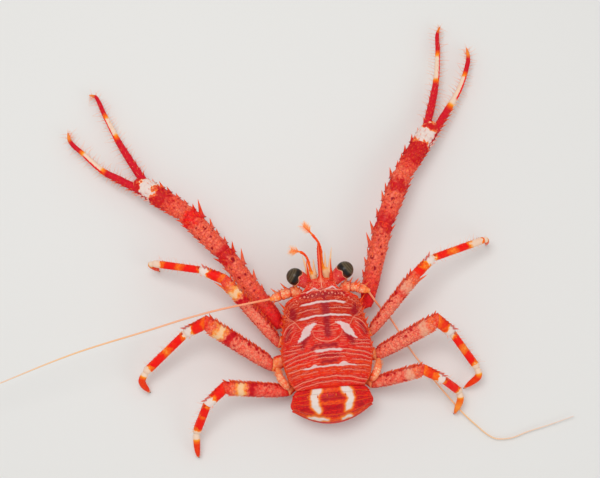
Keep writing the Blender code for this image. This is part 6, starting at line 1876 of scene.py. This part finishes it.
mouthLook = shellMaterial("mouth limb finish", ramp=((0.0, "orange"), (0.5, "amber"), (1.0, "orange")),
                          mottle=("red", 0.4, 420.0), light=("cream", 0.4, 700.0))
for side, hand in sides.items():
    mouthTufts = [(0.1, 0.6, 60, degrees, 1.0) for degrees in (150, 180, 210)]
    mouthTufts += [(0.6, 0.98, 90, degrees, 1.3) for degrees in (0, 60, 120, 180, 240, 300)]
    softLimb("maxilliped_" + side, maxillipedRoute, maxillipedWidths, hand, mouthLook, mouthTufts,
             71)
    legTufts = [(0.75, 0.99, 60, degrees, 0.8) for degrees in (0, 90, 180, 270)]
    softLimb("leg_5_" + side, lastLegRoute, lastLegWidths, hand, baseLook, legTufts, 81)
print("all pieces made,", triangleCount, "triangles")


# Floor, lights and camera

def floor():
    mesh = bpy.data.meshes.new("floor")
    reach = 0.9
    steps = 13
    places = np.linspace(-reach, reach, steps)
    points = [(float(x), float(y), 0.0) for y in places for x in places]
    faces = [(r * steps + c, r * steps + c + 1, (r + 1) * steps + c + 1, (r + 1) * steps + c)
             for r in range(steps - 1) for c in range(steps - 1)]
    mesh.from_pydata(points, [], faces)
    material, _, _ = newMaterial("floor", {"Base Color": ink(226, 225, 222), "Roughness": 0.85})
    mesh.materials.append(material)
    obj = bpy.data.objects.new("floor", mesh)
    bpy.context.scene.collection.objects.link(obj)
    obj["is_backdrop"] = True


def putAimed(name, data, place, back, guide):  # a light or camera at a place in metres, with back behind it
    obj = bpy.data.objects.new(name, data)
    side = unit(np.cross(guide, back))
    obj.matrix_world = [[*side, 0], [*np.cross(back, side), 0], [*back, 0], [*place, 1]]
    bpy.context.scene.collection.objects.link(obj)
    return obj


# Each light: its place in metres, its width and its power; both face the same point
lightPlan = {"aim": (0.0, 0.02, 0.0), "sky": 0.62,
             "lamps": {"key": ((-0.06, 0.10, 0.40), 0.22, 0.62), "fill": ((0.30, -0.25, 0.35), 0.3, 0.25)}}


def lights():
    for name, (place, width, power) in lightPlan["lamps"].items():
        light = bpy.data.lights.new(name, "AREA")
        light.shape = "DISK"
        light.size = width
        light.energy = power
        putAimed(name, light, place, unit(np.array(place) - lightPlan["aim"]), ahead)
    world = bpy.data.worlds.new("soft sky")
    world.use_nodes = True
    sky = world.node_tree.nodes["Background"].inputs
    sky["Color"].default_value = (1.0, 1.0, 1.0, 1.0)
    sky["Strength"].default_value = lightPlan["sky"]
    bpy.context.scene.world = world


# The view: the point it looks at and the millimetres that one pixel of its width covers there
viewPlan = {"lens": 85.0, "sensor": 36.0, "elevation": 80.0, "turn": 5.5, "aim": (-3.92, 37.83, 9.0),
            "scale": 0.25, "width": 600}


def camera():
    plan = viewPlan
    rise, turn = math.radians(plan["elevation"]), math.radians(plan["turn"])
    back = np.array([-math.cos(rise) * math.sin(turn), -math.cos(rise) * math.cos(turn), math.sin(rise)])
    distance = plan["scale"] * plan["width"] * plan["lens"] / plan["sensor"]
    data = bpy.data.cameras.new("view")
    data.lens, data.sensor_width = plan["lens"], plan["sensor"]
    data.clip_start, data.clip_end = 0.01, 10.0
    bpy.context.scene.camera = putAimed("view", data, (np.array(plan["aim"]) + back * distance) * mm, back,
                                        up)


floor()
lights()
camera()
bpy.context.scene.view_settings.view_transform = "Standard"

size = {"cad": [list(map(float, cadLow)), list(map(float, cadHigh))]}
low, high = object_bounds()
size["visual"] = [list(map(float, low)), list(map(float, high))]
